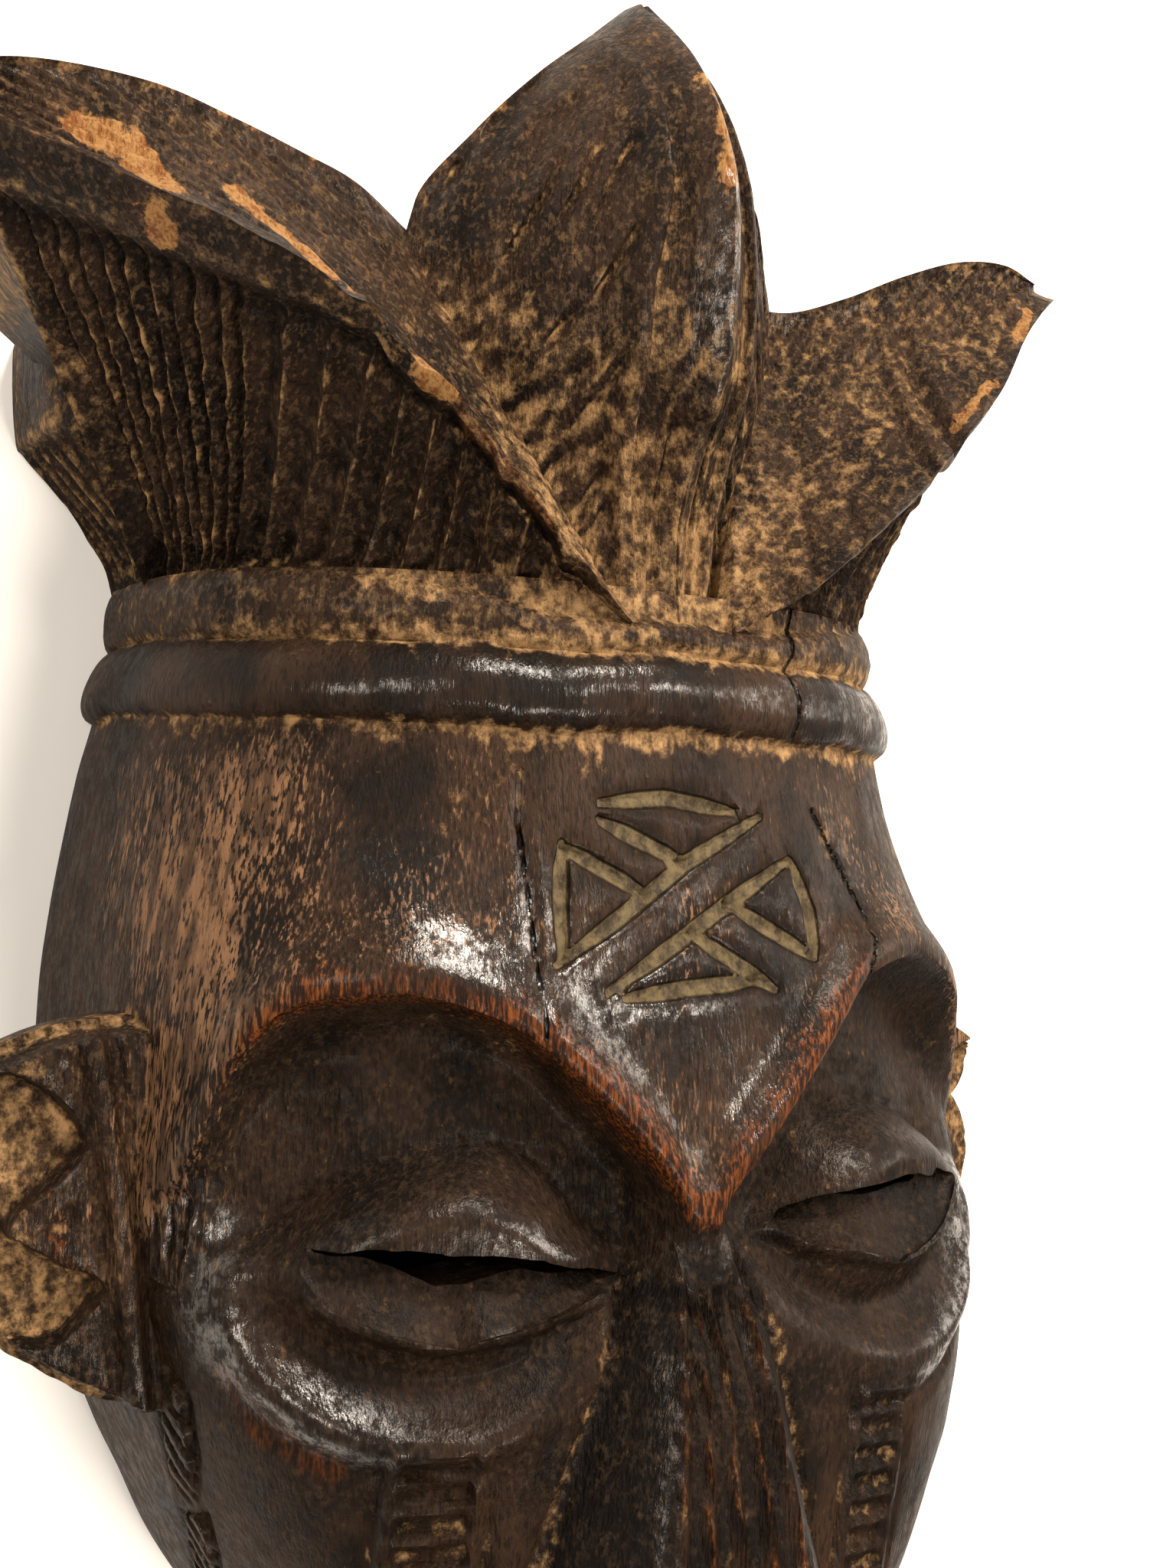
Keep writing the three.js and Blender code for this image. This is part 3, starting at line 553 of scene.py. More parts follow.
def face_details(x, y, z):
    """Cuts, ridges, cracks and tool marks of the face, out from the plain form."""
    out = 0.22 * wood_noise(x, y, 0, 15) + 0.12 * wood_noise(x, y, 3, (4, 9, 5))
    out = out + 0.06 * wood_noise(x, y, z, (1.6, 6, 2))
    wobble = 0.35 * wood_noise(x, y, 1, 6)
    for stroke in MARK_STROKES:
        d = stroke_distance(x + wobble, y + wobble, stroke)
        out = np.minimum(out, out + gouge(d, MARK_HALF_WIDTH, MARK_DEPTH))
    for crack in CRACKS:
        out = out + gouge(distance_to(x + 0.8 * wobble, y, crack), CRACK_HALF_WIDTH, CRACK_DEPTH)
    across = np.abs(x)
    on_side = smooth(70, 74, across) + smooth(-80, -88, y) * smooth(55, 62, across) * (across < 70)
    out = out + side_details(z, y) * np.clip(on_side, 0, 1)
    # The socket's upper part is left rough from short cross strokes.
    rough = socket_share(x, y) * smooth(0.1, -0.3, eye_inside(x, y))
    strokes = 0.3 * wood_noise(x, y, 5, (3.2, 2.0, 3)) + 0.15 * wood_noise(x, y, 8, (1.6, 1.2, 2))
    out = out + rough * strokes
    # A soft lip and a groove under it, along the lower rim of each eye.
    plan_x, plan_y = unskew(x, y)
    outward = np.abs(plan_x)
    for side in SIDES:
        low = plan_y - through(LOWER_LID[side])(outward)
        ends = smooth(14, 20, outward) * smooth(70, 62, outward) * (side * plan_x > 0)
        out = out + (1.6 * bell(low + 0.8, 1.5) - 0.7 * bell(low + 3.4, 1.3)) * ends
    # Crest and crisp foot of the roll round the eye.
    out = out + 0.9 * bell(distance_to(-across, y, ROLL_CREST), 3.2)
    out = out - 1.1 * bell(distance_to(-across, y, ROLL_FOOT), 1.6)
    out = out + ladder(x, y, 1) + ladder(x, y, -1)
    # The nose: a line where its flank meets the cheek, and gouged flutes down its front.
    out = out - 1.0 * bell(distance_to(-across, y, CHEEK_LINE), 0.9)
    half, foot, _ = nose_halves(y)
    u = np.clip((x + half) / (2 * half), 0, 1)
    flute = 1 - (2 * np.mod(u * NOSE_FLUTES, 1) - 1) ** 2
    on_nose = smooth(-57, -66, y) * smooth(1.02, 0.99, across / half) * smooth(-127, -120, y)
    out = out - NOSE_FLUTE_DEPTH * flute**0.8 * on_nose
    flank = smooth(half + 0.2, half + 1.4, across) * smooth(foot + 0.4, foot - 1.2, across)
    return out - 1.5 * flank * smooth(-57, -64, y) * smooth(-126, -118, y)


def head_points(phi, level):
    """Places on the carved head, for directions round it and levels along it."""
    y = bend(phi, level)
    r = head_radius(phi, y)
    x = r * np.sin(phi)
    z = r * np.cos(phi)
    front = smooth(-0.25, 0.25, np.cos(phi))
    carve = brow_and_socket(x, y) + eye(x, y) + nose(x, y) + mouth_and_chin(x, y)
    crease = -0.8 * bell(eye_inside(x, y) + 0.06, 0.05) * smooth(-52, -48, y)
    out = r + band_swell(x, y, z) + front * (carve + crease)
    seen_x, seen_y = skew(out * np.sin(phi), y)
    seen_z = SECTION_Z + out * np.cos(phi)
    out = out + face_details(seen_x, seen_y, seen_z) * smooth(-0.3, 0.0, np.cos(phi))
    x, y = skew(out * np.sin(phi), y)
    return np.stack([x, y, SECTION_Z + out * np.cos(phi)], -1)


def closed_mesh(name, rings):
    """One closed skin over rings of points, in millimetres, capped at both ends."""
    rows, columns, _ = rings.shape
    points = rings.reshape(-1, 3)
    index = np.arange(rows * columns).reshape(rows, columns)
    near, far = index[:-1], index[1:]
    a, b, c, d = near, np.roll(near, -1, 1), np.roll(far, -1, 1), far
    rising = np.linalg.norm(points[a] - points[c], axis=-1)
    falling = np.linalg.norm(points[b] - points[d], axis=-1)
    up = (rising < falling)[..., None]
    first = np.where(up, np.stack([a, b, c], -1), np.stack([a, b, d], -1))
    second = np.where(up, np.stack([a, c, d], -1), np.stack([b, c, d], -1))
    faces = [first.reshape(-1, 3), second.reshape(-1, 3)]
    hubs = np.array([rings[0].mean(0), rings[-1].mean(0)])
    start, end = index[0], index[-1]
    faces.append(np.stack([np.full(columns, len(points)), np.roll(start, -1), start], -1))
    faces.append(np.stack([np.full(columns, len(points) + 1), end, np.roll(end, -1)], -1))
    return raw_mesh(name, np.vstack([points, hubs]), np.vstack(faces))


def raw_mesh(name, points, faces):
    """A mesh of triangles in the scene, turned right side out."""
    corner = points[faces]
    volume = np.einsum("ij,ij->i", corner[:, 0], np.cross(corner[:, 1], corner[:, 2])).sum()
    if volume < 0:
        faces = faces[:, ::-1]
    mesh = bpy.data.meshes.new(name)
    mesh.vertices.add(len(points))
    mesh.vertices.foreach_set("co", points.astype(np.float32).ravel())
    mesh.loops.add(faces.size)
    mesh.loops.foreach_set("vertex_index", faces.astype(np.int32).ravel())
    mesh.polygons.add(len(faces))
    mesh.polygons.foreach_set("loop_start", np.arange(0, faces.size, 3, dtype=np.int32))
    mesh.update(calc_edges=True)
    mesh.validate()
    piece = bpy.data.objects.new(name, mesh)
    bpy.context.scene.collection.objects.link(piece)
    return piece


def applied(piece):
    """Applies a piece's modifiers."""
    graph = bpy.context.evaluated_depsgraph_get()
    mesh = bpy.data.meshes.new_from_object(piece.evaluated_get(graph))
    old = piece.data
    piece.modifiers.clear()
    piece.data = mesh
    bpy.data.meshes.remove(old)


def carve(piece, tool, operation):
    """Joins, cuts or trims a piece with another one, which is used up."""
    step = piece.modifiers.new("carve", "BOOLEAN")
    step.operation = operation
    step.solver = "MANIFOLD"
    step.object = tool
    applied(piece)
    mesh = tool.data
    bpy.data.objects.remove(tool)
    bpy.data.meshes.remove(mesh)


def head():
    """The head with its bands and face, laid out finer beside the near eye than at the back."""
    degrees = np.concatenate([
        np.arange(-116, -71, 0.7),
        np.arange(-71, -57, 0.35),
        np.arange(-57, 116.1, 0.7),
        np.arange(124, 236.1, 8),
    ])
    levels = np.concatenate([np.arange(CHIN_Y, -150, 1.2), np.arange(-150, 57.5, 0.82), [57.5]])
    phi, level = np.meshgrid(np.radians(degrees), levels)
    phi = np.where(phi > np.pi, phi - 2 * np.pi, phi)
    return closed_mesh("head", head_points(phi, level))


def hollow():
    """What is gouged out from behind, open at the flat back."""
    rows = (np.linspace(-158, -150, 6), np.arange(-147, 20, 2.4), np.linspace(21, 26, 4))
    phi, y = np.meshgrid(np.linspace(0, 2 * np.pi, 110, endpoint=False), np.concatenate(rows))
    wall = WALL + CROWN_WALL * smooth(6, 26, y) ** 2 + CHIN_WALL * smooth(-140, -158, y) ** 2
    socket = 0.8 * SOCKET_DEPTH * smooth(0.2, 0.9, np.cos(phi))
    socket = socket * smooth(-100, -60, y) * (1 - smooth(-50, -10, y))
    strokes = 0.8 * np.abs(wood_noise(40 * phi, y, 0, (7, 19, 9)))
    inner = head_radius(phi, y, HOLLOW_BACK) - wall - socket - strokes
    x, y = skew(inner * np.sin(phi), y)
    return closed_mesh("hollow", np.stack([x, y, SECTION_Z + inner * np.cos(phi)], -1))


def surface(x, y):
    """Height of the carved face above the back at a place seen from the front."""
    phi = np.zeros(np.shape(x))
    for _ in range(8):  # each round brings the direction nearer to the place
        phi = np.arcsin(np.clip(x / head_radius(phi, y), -1, 1))
    return SECTION_Z + (head_radius(phi, y) + brow_and_socket(x, y) + eye(x, y)) * np.cos(phi)


def lid_edges(side, x):
    """Upper and lower edge of an eye opening, chipped a little."""
    chips = 0.3 * wood_noise(x, side * 5, 0, 4) + 0.2 * wood_noise(x, side * 9, 0, 1.7)
    return through(UPPER_LID[side])(x) + chips, through(LOWER_LID[side])(x) + 0.6 * chips


def lid(side):
    """What is cut in under an upper lid, running out at the lower rim."""
    inner_end, outer_end = UPPER_LID[side][0][0], UPPER_LID[side][-1][0]
    u = np.sin(np.linspace(-1, 1, LID_COLUMNS) * np.pi / 2)
    distance = lerp(inner_end, outer_end, 0.5 + 0.5 * u)
    x = side * distance
    width = np.maximum(1 - u * u, 0.01) ** 0.6
    top, low = lid_edges(side, distance)
    low = low - 1.2 * bell(u - 0.12, 0.05)
    front = surface(x, top)
    share = np.linspace(0, 1, LID_ROWS)[:, None]
    rough = 0.3 * wood_noise(x, share * 14, 2, (3, 3, 3)) * width
    depth = (LID_DEPTH * width + 0.1) * (1 - share**1.2) + rough
    y = top + (low - top) * share
    floor_z = lerp(front, surface(x, low) + 0.2, share) - depth
    floor_z = np.where(share == 1, surface(x, low) + 0.3, floor_z)
    inner = np.stack([np.broadcast_to(x, y.shape), y, floor_z], -1)
    clear = front + LID_CLEAR
    outer = np.stack([np.stack([x, low, clear], -1), np.stack([x, top, clear], -1)])
    rings = np.swapaxes(np.concatenate([inner, outer]), 0, 1).copy()
    rings[..., 0], rings[..., 1] = skew(rings[..., 0], rings[..., 1])
    return closed_mesh("lid", rings)


def slit(side):
    """An eye slit, right through the wall, tallest where the carver's two cuts met."""
    u = np.concatenate([np.linspace(-1, 1, 51), np.linspace(0.97, -0.97, 49)])
    edge = np.concatenate([np.zeros(51), np.ones(49)])
    inner_end, outer_end = UPPER_LID[side][0][0] + 4, UPPER_LID[side][-1][0] - 5
    distance = lerp(inner_end, outer_end, 0.5 + 0.5 * u)
    top, _ = lid_edges(side, distance)
    ends, middle = SLIT_HEIGHT[side]
    height = ends + middle * bell(distance - 46, 9) + 0.3 * wood_noise(u * 23, side, 3, 3)
    height = height * np.maximum(1 - u * u, 0) ** 0.5
    x, y = skew(side * distance, top - 0.4 - edge * height)
    rings = np.stack([np.stack([x, y, np.full_like(x, z)], -1) for z in (SLIT_FROM_Z, SLIT_TO_Z)])
    return closed_mesh("slit", rings)


def leaf(side, settings):
    """A folded side leaf: gouged flutes outside under a thick rim, long strokes inside."""
    t = np.linspace(0, 1, LEAF_COLUMNS)
    phi = np.radians(lerp(LEAF_BASE_START, LEAF_BASE_END, t))
    r = section_radius(phi, NECK_HALF, NECK_FRONT, SECTION_BACK, NECK_POWER)
    base = np.stack([side * r * np.sin(phi), np.zeros_like(t), SECTION_Z + r * np.cos(phi)], -1)
    base[:, 1] = band_top(base[:, 0]) - 3
    top = guide(RIM[side], side)(t)
    high = guide(CREST[side], side)(t)
    nicks = np.maximum(0, wood_noise(t * 110, side * 9, 0, 4.5))
    nicks = nicks * smooth(0.1, 0.2, t) * smooth(0.62, 0.5, t)
    nicks = nicks + 0.25 * np.maximum(0, wood_noise(t * 90, side * 3, 4, 2.5))
    top[:, 1] -= 2.4 * nicks
    top[:, 2] -= 1.6 * nicks
    start = base.copy()
    start[:, 0] *= 0.9
    start[:, 1] = 40
    rings = [np.broadcast_to((side * 12, 34, 24), base.shape), start]
    # The flutes crowd together towards the back.
    phase = np.mod(settings.flutes * (t + np.maximum(0, t - 0.7)), 1)
    scoop = 1 - np.abs(2 * phase - 1) ** 1.8
    rim_share = lerp(0.09, 0.135, smooth(0.55, 0.7, t))
    ends = smooth(0, 0.03, t) * smooth(1, 0.98, t)
    for v in np.linspace(0.03, 1, LEAF_ROWS):
        p = lerp(base, top, v)
        place = p.T
        streaks = 0.5 * wood_noise(*place, (1.7, 5, 1.7)) + 0.35 * wood_noise(*place, (2.6, 2.2, 2.6))
        waver = 0.12 * wood_noise(*place, 9)
        under_rim, into_field = 1 - rim_share + 0.012 + waver * 0.1, 1 - rim_share - 0.018 + waver * 0.1
        field = smooth(under_rim, into_field, v) * smooth(0.02, 0.1, v)
        flute = settings.flute_depth * PER_METRE * scoop * (1 + waver) + 0.8 * streaks + 1.3
        undercut = 1.5 * bell(v - 1 + rim_share + 0.04, 0.035)
        worn_rim = (0.35 * streaks + 0.3) * smooth(1, 0.96, v) + 0.5 * smooth(0.97, 1, v)
        inward = LEAF_BULGE * math.sin(math.pi * v) + ends * (field * (flute + undercut) + worn_rim)
        away = p * (1, 0, 1) - (0, 0, SECTION_Z)
        away /= np.linalg.norm(away, axis=1, keepdims=True)
        rings.append(p - away * inward[:, None])
    width = np.linalg.norm(high - top, axis=1)
    for v in np.linspace(0.025, 1, LEAF_INNER_ROWS):
        p = lerp(top, high, v)
        x, y, z = p.T
        dish = INNER_DISH * math.sin(math.pi * v) ** 0.8 * np.sin(np.pi * np.clip(t, 0.05, 0.95))
        turns = v * width / STROKE_SPACING[side] + 0.4 * wood_noise(x, y, 0, 18)
        strokes = 0.5 + 0.5 * np.cos(2 * np.pi * turns)
        rounded = smooth(0.02, 0.1 + 0.14 * smooth(0.55, 0.75, t), v)
        edge = rounded * smooth(1.0, 0.93, v)
        rough = 0.4 * wood_noise(x, y, z, 5) + 0.35 * wood_noise(x, y, z, 2.2)
        p[:, 2] -= dish + (0.6 * strokes**2 + rough + 0.5) * edge + 0.3
        rings.append(p)
    rings.append(high * (0.985, 1, 1) - (0, 3, 12))
    rings.append(np.stack([high[:, 0] * 0.8, np.full_like(t, 104), np.full_like(t, 20)], -1))
    return closed_mesh("leaf", np.swapaxes(np.array(rings), 0, 1))


def front_leaf():
    """The keeled leaf in the middle, with a border beside its keel and a field of short cuts."""
    y = np.concatenate([np.arange(46, 168, 0.9), np.linspace(168, CREST_TIP_Y, 6)])
    keel, half, edge = (curve(y) for curve in curves(CREST_LEVELS))
    lean = CREST_SHIFT * smooth(60, 130, y)
    size = smooth(CREST_TIP_Y + 6, 130, y)
    broken = KEEL_BREAK * smooth(KEEL_BREAK_Y + 1, KEEL_BREAK_Y - 1, y)
    bead_at = through(BEAD_LINE)(y)
    flank = []
    steps = np.concatenate([np.linspace(0, 0.42, 40), np.linspace(0.44, 1, 36)])
    for u in steps:
        x = half * u
        strip = smooth(KEEL_HALF + 1, KEEL_HALF, x)
        groove = smooth(KEEL_HALF, KEEL_HALF + 1.2, x) * smooth(bead_at - 0.8, bead_at - 2.4, x)
        bead = bell(x - bead_at, 1.3)
        field = smooth(bead_at + 0.8, bead_at + 2.2, x) * smooth(1, 0.94, u)
        cuts = wood_noise(x + 0.45 * y, y, u * 9, (1.9, 8, 3))
        crust = 0.5 * wood_noise(x, y, 3, (2.4, 3, 3)) + 0.4 * wood_noise(x, y, 4, (4, 10, 4))
        beside = 0.9 * (1 - strip) - 2.4 * groove + 0.7 * bead - 1.5 * field
        low = 2.5 * math.sin(math.pi * u) + size * beside
        low = low + field * size * (2.2 * np.minimum(cuts, 0.3) + 0.6 * crust)
        low = low + 0.2 * crust * (1 - strip)
        low = low - 1.1 * smooth(2.2, 4.4, x) * strip * size
        z = lerp(keel, edge, u) + low - broken * strip * smooth(46, 60, y)
        flank.append((x, z))
    keel_wear = 0.5 * wood_noise(0, y, 2, (5, 7, 5))
    flank[0] = (flank[0][0], flank[0][1] - 0.35 + np.minimum(keel_wear, 0.3))
    rings = [np.stack([lean + x, y, z], -1) for x, z in flank]
    back = lerp(CREST_BACK * (0.35 + 0.65 * size), CREST_ROOT_BACK, 1 - smooth(100, 122, y))
    rings.append(np.stack([lean + half * 0.8, y, edge - back * 0.7], -1))
    rings.append(np.stack([lean, y, edge - back], -1))
    rings.append(np.stack([lean - half * 0.8, y, edge - back * 0.7], -1))
    rings += [np.stack([lean - x, y, z], -1) for x, z in flank[:0:-1]]
    return closed_mesh("front_leaf", np.swapaxes(np.array(rings), 0, 1))


def rear_block():
    """The block behind the crown: flutes that fan from the neck, and a plain wall above."""
    half_at, front_at = curves(REAR_LEVELS)
    rows = np.concatenate([np.arange(44, 112, 1.1), np.linspace(112, 116, 5)])
    phi, y = np.meshgrid(np.linspace(0, 2 * np.pi, 300, endpoint=False), rows)
    r = section_radius(phi, half_at(y), front_at(y) - REAR_Z, REAR_BACK, REAR_POWER)
    phase = np.mod(np.degrees(phi) / REAR_FLUTE_DEGREES, 1)
    off_middle = np.abs(2 * phase - 1) ** 2
    scoop = 1 - off_middle
    reach = 84 - 2.5 * off_middle
    flute = REAR_FLUTE_DEPTH * scoop * smooth(reach + 0.6, reach - 0.6, y) * smooth(57, 61, y)
    r = r - flute - 0.3 - 0.25 * wood_noise(r * np.sin(phi), y, r * np.cos(phi), (9, 9, 9))
    return closed_mesh("rear_block", np.stack([r * np.sin(phi), y, REAR_Z + r * np.cos(phi)], -1))


def ear_outline(start, bends):
    """Points along an outline of the ear, from bends given as shares of its size."""
    points = [start]
    for cx, cy, ex, ey in bends:
        a = np.array(points[-1])
        c, b = np.array((cx * EAR_REACH, cy * EAR_HALF)), np.array((ex * EAR_REACH, ey * EAR_HALF))
        for t in np.linspace(0, 1, 13)[1:]:
            points.append(tuple((1 - t) ** 2 * a + 2 * t * (1 - t) * c + t * t * b))
    return points


def ear(side):
    """An ear: a plate with a ragged lower end and, on it, a relief with three arms."""
    plate = np.array(ear_outline((-8, EAR_HALF), EAR_PLATE))
    ragged = 0.7 * wood_noise(plate[:, 0], plate[:, 1], 0, 4)
    plate[:, 1] += np.where((plate[:, 0] > 0) & (plate[:, 1] < 0), ragged, 0)
    arms = ear_outline((-8, 0.97 * EAR_HALF), EAR_ARMS)
    gu, gv = np.meshgrid(np.linspace(-10, 38, 97), np.linspace(-40, 38, 157))
    depth = inside_depth(gu, gv, arms)
    raised = smooth(-0.5, 0.7, depth) * EAR_RELIEF
    hollowed = 1.8 * smooth(2.5, 9, depth) * smooth(9, 14, gu)
    rough = 0.45 * wood_noise(gu, gv, 6, 4) + 0.35 * wood_noise(gu, gv, 2, 1.8)
    scoop = 2.6 * smooth(0, -5, depth) + 1.2 * bell(depth + 1.6, 1.1)
    top = np.minimum(raised - hollowed + rough * 0.8 - scoop, EAR_RELIEF - 0.05)
    border = distance_to(gu, gv, EAR_BORDER)
    top = top + 1.7 * smooth(2.3, 0.9, border) - 0.9 * bell(border - 3.3, 1.0)
    over = np.stack([gu, gv, top], -1)
    under = np.stack([gu, gv, np.full_like(gu, -EAR_BASE)], -1)
    block = closed_mesh("ear", np.concatenate([over, under[:, ::-1]], axis=1))
    prism = np.stack([np.column_stack([plate, np.full(len(plate), z)]) for z in (-30.0, 30.0)])
    carve(block, closed_mesh("ear_outline", prism), "INTERSECT")
    placed = Matrix.Translation((EAR_X, EAR_Y, EAR_Z)) @ Matrix.Rotation(EAR_TURN, 4, "Y")
    block.data.transform(Matrix.Diagonal((side, 1, 1, 1)) @ placed)
    if side < 0:
        block.data.flip_normals()
    return block


def slab(name, low, high):
    """A plain block used to trim the flat back."""
    corners = [(low[0], low[1]), (high[0], low[1]), (high[0], high[1]), (low[0], high[1])]
    rings = [[(x, y, z) for x, y in corners] for z in (low[2], high[2])]
    return closed_mesh(name, np.array(rings, float))


def read_rows(items, name, width, kind=np.float32):
    """One value of each of a mesh's items, as rows of numbers."""
    values = np.empty(len(items) * width, kind)
    items.foreach_get(name, values)
    return values.reshape(-1, width)


def read_points(mesh):
    """A mesh's vertices as rows of x, y and z."""
    return read_rows(mesh.vertices, "co", 3).astype(float)


def spread(values, edges, count, rounds):
    """Averages values with their neighbours' along the mesh, several times over."""
    a, b = edges.T
    number = np.bincount(a, minlength=count) + np.bincount(b, minlength=count)
    number = np.maximum(number, 1)
    for _ in range(rounds):
        columns = []
        for column in np.atleast_2d(values.T):
            total = np.bincount(a, column[b], count) + np.bincount(b, column[a], count)
            columns.append(0.4 * column + 0.6 * total / number)
        values = np.array(columns).T if values.ndim > 1 else columns[0]
    return values


def along_path(points, path, width):
    """1 on a worn place that runs along a line, 0 away from it, with an uneven outline."""
    best = np.full(len(points), 1e9)
    for a, b in zip(path[:-1], path[1:]):
        a, step = np.array(a, float), np.subtract(b, a).astype(float)
        t = np.clip(((points - a) @ step) / (step @ step), 0, 1)
        best = np.minimum(best, np.linalg.norm(points - a - t[:, None] * step, axis=1))
    x, y, z = points.T
    best = best * (1 + 0.35 * wood_noise(x, y, z, (7, 9, 7)))
    best = best + 0.3 * width * wood_noise(x, y, z, (3, 5, 3))
    return smooth(1.5 * width, 0.5 * width, best)


def worn(points, places):
    """The strongest of several worn places at each point."""
    return np.max([along_path(points, *place) for place in places], axis=0)


# Worn places as lines of x, y, z, each with its half width in mm.
BARE_RIMS = [  # the dark coat is gone down to yellow wood
    ([(-107, 121, 86), (-99, 119.5, 88), (-95, 112, 92), (-93.5, 106, 90)], 3.8),
    ([(-80, 114, 88), (-72, 109, 92), (-66, 103, 97)], 3.8),
    ([(-65, 100, 100), (-58, 93, 103), (-51, 85, 104)], 2.6),
    ([(2, 150, 98), (2, 141, 104), (1, 130, 108.5)], 2.0),
    ([(95, 128, 87), (88, 120, 92)], 1.6),
    ([(76, 108, 97), (65, 97, 99.5)], 1.5),
]
RUBBED_LINES = [  # rubbed through to red-brown
    ([(-73, -77, 87), (-68, -84, 92.3), (-60, -89, 99)], 3.6),
    ([(-54, 87, 104), (-42, 77, 104), (-30, 66, 104)], 2.4),
    ([(57, -61, 107), (50, -65.5, 108)], 1.6),
    ([(-100, -46, 70), (-97, -60, 70)], 2.6),
]
DUSTY_LINES = [  # thick tan dust
    ([(-31, 108, 79), (-26, 98, 84), (-20, 86, 88), (-14, 76, 92)], 7),
    ([(24, 66, 96), (30, 82, 88)], 6),
    ([(-55, 57, 87), (-40, 54, 94), (-24, 50, 100), (-8, 49, 102)], 3.4),
]
# Where hands polished the wood, as lines of x and y.
BROW_GLOSS = [(-46, 2), (-36, -6), (-24, -12), (-8, -20), (2, -28), (10, -30)]
LID_GLOSS = [(-38, -51), (-30, -53), (-24, -55)]
KEEL_GLOSS = [(1, 128), (-1, 92)]
FACE_Z, BROW_Z = 60, 80  # what lies higher than this is the face, and its brow
MARK_REACH, CRACK_REACH = 5, 4


def finish_marks(piece):
    """Writes where dust lies, where hands rubbed, where wood is bare, and where shade and light are
    painted, on the mesh itself.
    """
    mesh = piece.data
    points = read_points(mesh)
    edges = read_rows(mesh.edges, "vertices", 2, np.int32)
    normals = read_rows(mesh.vertex_normals, "vector", 3).astype(float)
    count = len(points)
    strongest = np.maximum.reduce
    # How far each place stands out from what lies round it, close by and further away.
    fine, middle, broad = (
        ((points - spread(points, edges, count, rounds)) * normals).sum(1) for rounds in (3, 10, 22)
    )
    fine, broad = spread(fine, edges, count, 1), spread(broad, edges, count, 2)
    x, y, z = points.T
    across = np.abs(x)
    plan_x, plan_y = unskew(x, y)
    above_brow = plan_y - brow_line(plan_x)
    blotch = wood_noise(x, y, z, (13, 18, 13))
    speck = wood_noise(x, y, z, (3, 6, 3))
    up = normals[:, 2]
    front = (z > FACE_Z) * smooth(-0.2, 0.2, up)

    # Dust lies in the cuts, between the bands and in the valleys of the crown.
    under_band = 0.75 * bell(y - BAND_BOTTOM_Y + 0.9, 1.6) * smooth(-45, -5, x)
    band_line = np.clip(bell(y - BAND_JOINT_Y - 0.8, 1.9) + under_band, 0, 1)
    band_line = band_line * smooth(0.1, 0.5, up) * (0.55 + 0.45 * smooth(70, 35, np.abs(x - 6)))
    valley = smooth(26, 8, np.abs(x + 5) - 12) * smooth(50, 56, y) * smooth(112, 92, y)
    upper_band = smooth(BAND_JOINT_Y, BAND_JOINT_Y + 1.5, y) * smooth(60, 54, y)
    veil = smooth(31, 24, y) * smooth(4, 16, y) * smooth(-0.1, 0.5, blotch + 0.4 * speck)
    veil = veil * smooth(72, 45, across)
    socket = smooth(1, 5, -above_brow) * smooth(-100, -90, plan_y) * front
    above_bands = smooth(54, 60, y)
    dusty_crown = (0.22 * smooth(0.3, 0.6, up) + 0.2 * smooth(24, 40, x)) * above_bands
    dust = 0.55 * smooth(0.05, 0.4, -fine) + 0.25 * smooth(0.3, 1.4, -broad)
    dust = dust * (1 - 0.8 * socket) + 0.75 * band_line + 0.55 * valley
    dust = dust + 0.3 * upper_band + 0.33 * veil + dusty_crown
    dust = np.maximum(dust, 0.62 * worn(points, DUSTY_LINES))
    # On the flutes and down the nose's front the ridges are pale, partly from dust and partly as
    # painted light where they catch it, and the bottoms get no dust, so they stay black.
    steep = smooth(0.55, 0.3, up) * smooth(60, 68, across)
    fluted = np.maximum(smooth(-0.1, -0.4, normals[:, 1]), steep) * smooth(54, 58, y)
    half, foot, _ = nose_halves(y)
    nose_front = smooth(half + 1, half - 0.5, across) * smooth(-60, -68, y) * front
    cut_field = np.maximum(fluted, nose_front)
    ridges = 0.85 * smooth(0.1, 0.9, middle) * (0.8 + 0.4 * blotch) * (1 - 0.6 * nose_front)
    dust = lerp(dust, ridges, cut_field)
    nose_edge = bell(across - foot - 0.8, 1.0) * smooth(-62, -68, y) * smooth(-112, -106, y) * front
    dust = np.clip(np.maximum(dust, 0.55 * nose_edge) * (0.8 + 0.3 * speck), 0, 1)
    ear_hollow = (across > 86) * smooth(69, 65, z) * smooth(0.2, 0.5, up)
    ear_hollow = ear_hollow * smooth(-90, -85, y) * smooth(-15, -20, y)
    dust = np.maximum(dust, 0.62 * ear_hollow)

    # Hands rubbed the edges and the lower brow to red-brown.
    reach = 8 + 3 * wood_noise(x, 0, 0, 11) + 6 * smooth(-42, -32, x) * smooth(40, 20, x)
    brow = smooth(-2, -0.2, above_brow) * smooth(reach, 0.2 * reach, above_brow)
    brow = brow * smooth(84, 72, -x) * smooth(46, 34, x) * front
    eyes = smooth(-0.1, 0.1, eye_inside(plan_x, plan_y)) * front
    rub = 0.6 * smooth(0.1, 0.6, fine) + 0.15 * smooth(0.4, 1.5, broad)
    rub = rub * (0.5 + 0.6 * blotch) * (1 - 0.6 * fluted) * (1 - 0.85 * eyes)
    rub = rub * (1 - 0.9 * smooth(0, -0.3, up)) + 0.45 * nose_front * smooth(0.1, 0.8, middle)
    rub = strongest([rub, brow * (0.74 + 0.35 * blotch), 0.7 * worn(points, RUBBED_LINES)])

    # Chipped rims are bare down to the yellow wood.
    chips = 0.45 * smooth(0.4, 1.0, fine) * smooth(47, 56, y) * front * smooth(0.0, 0.4, blotch)
    bare = np.maximum(worn(points, BARE_RIMS), chips)
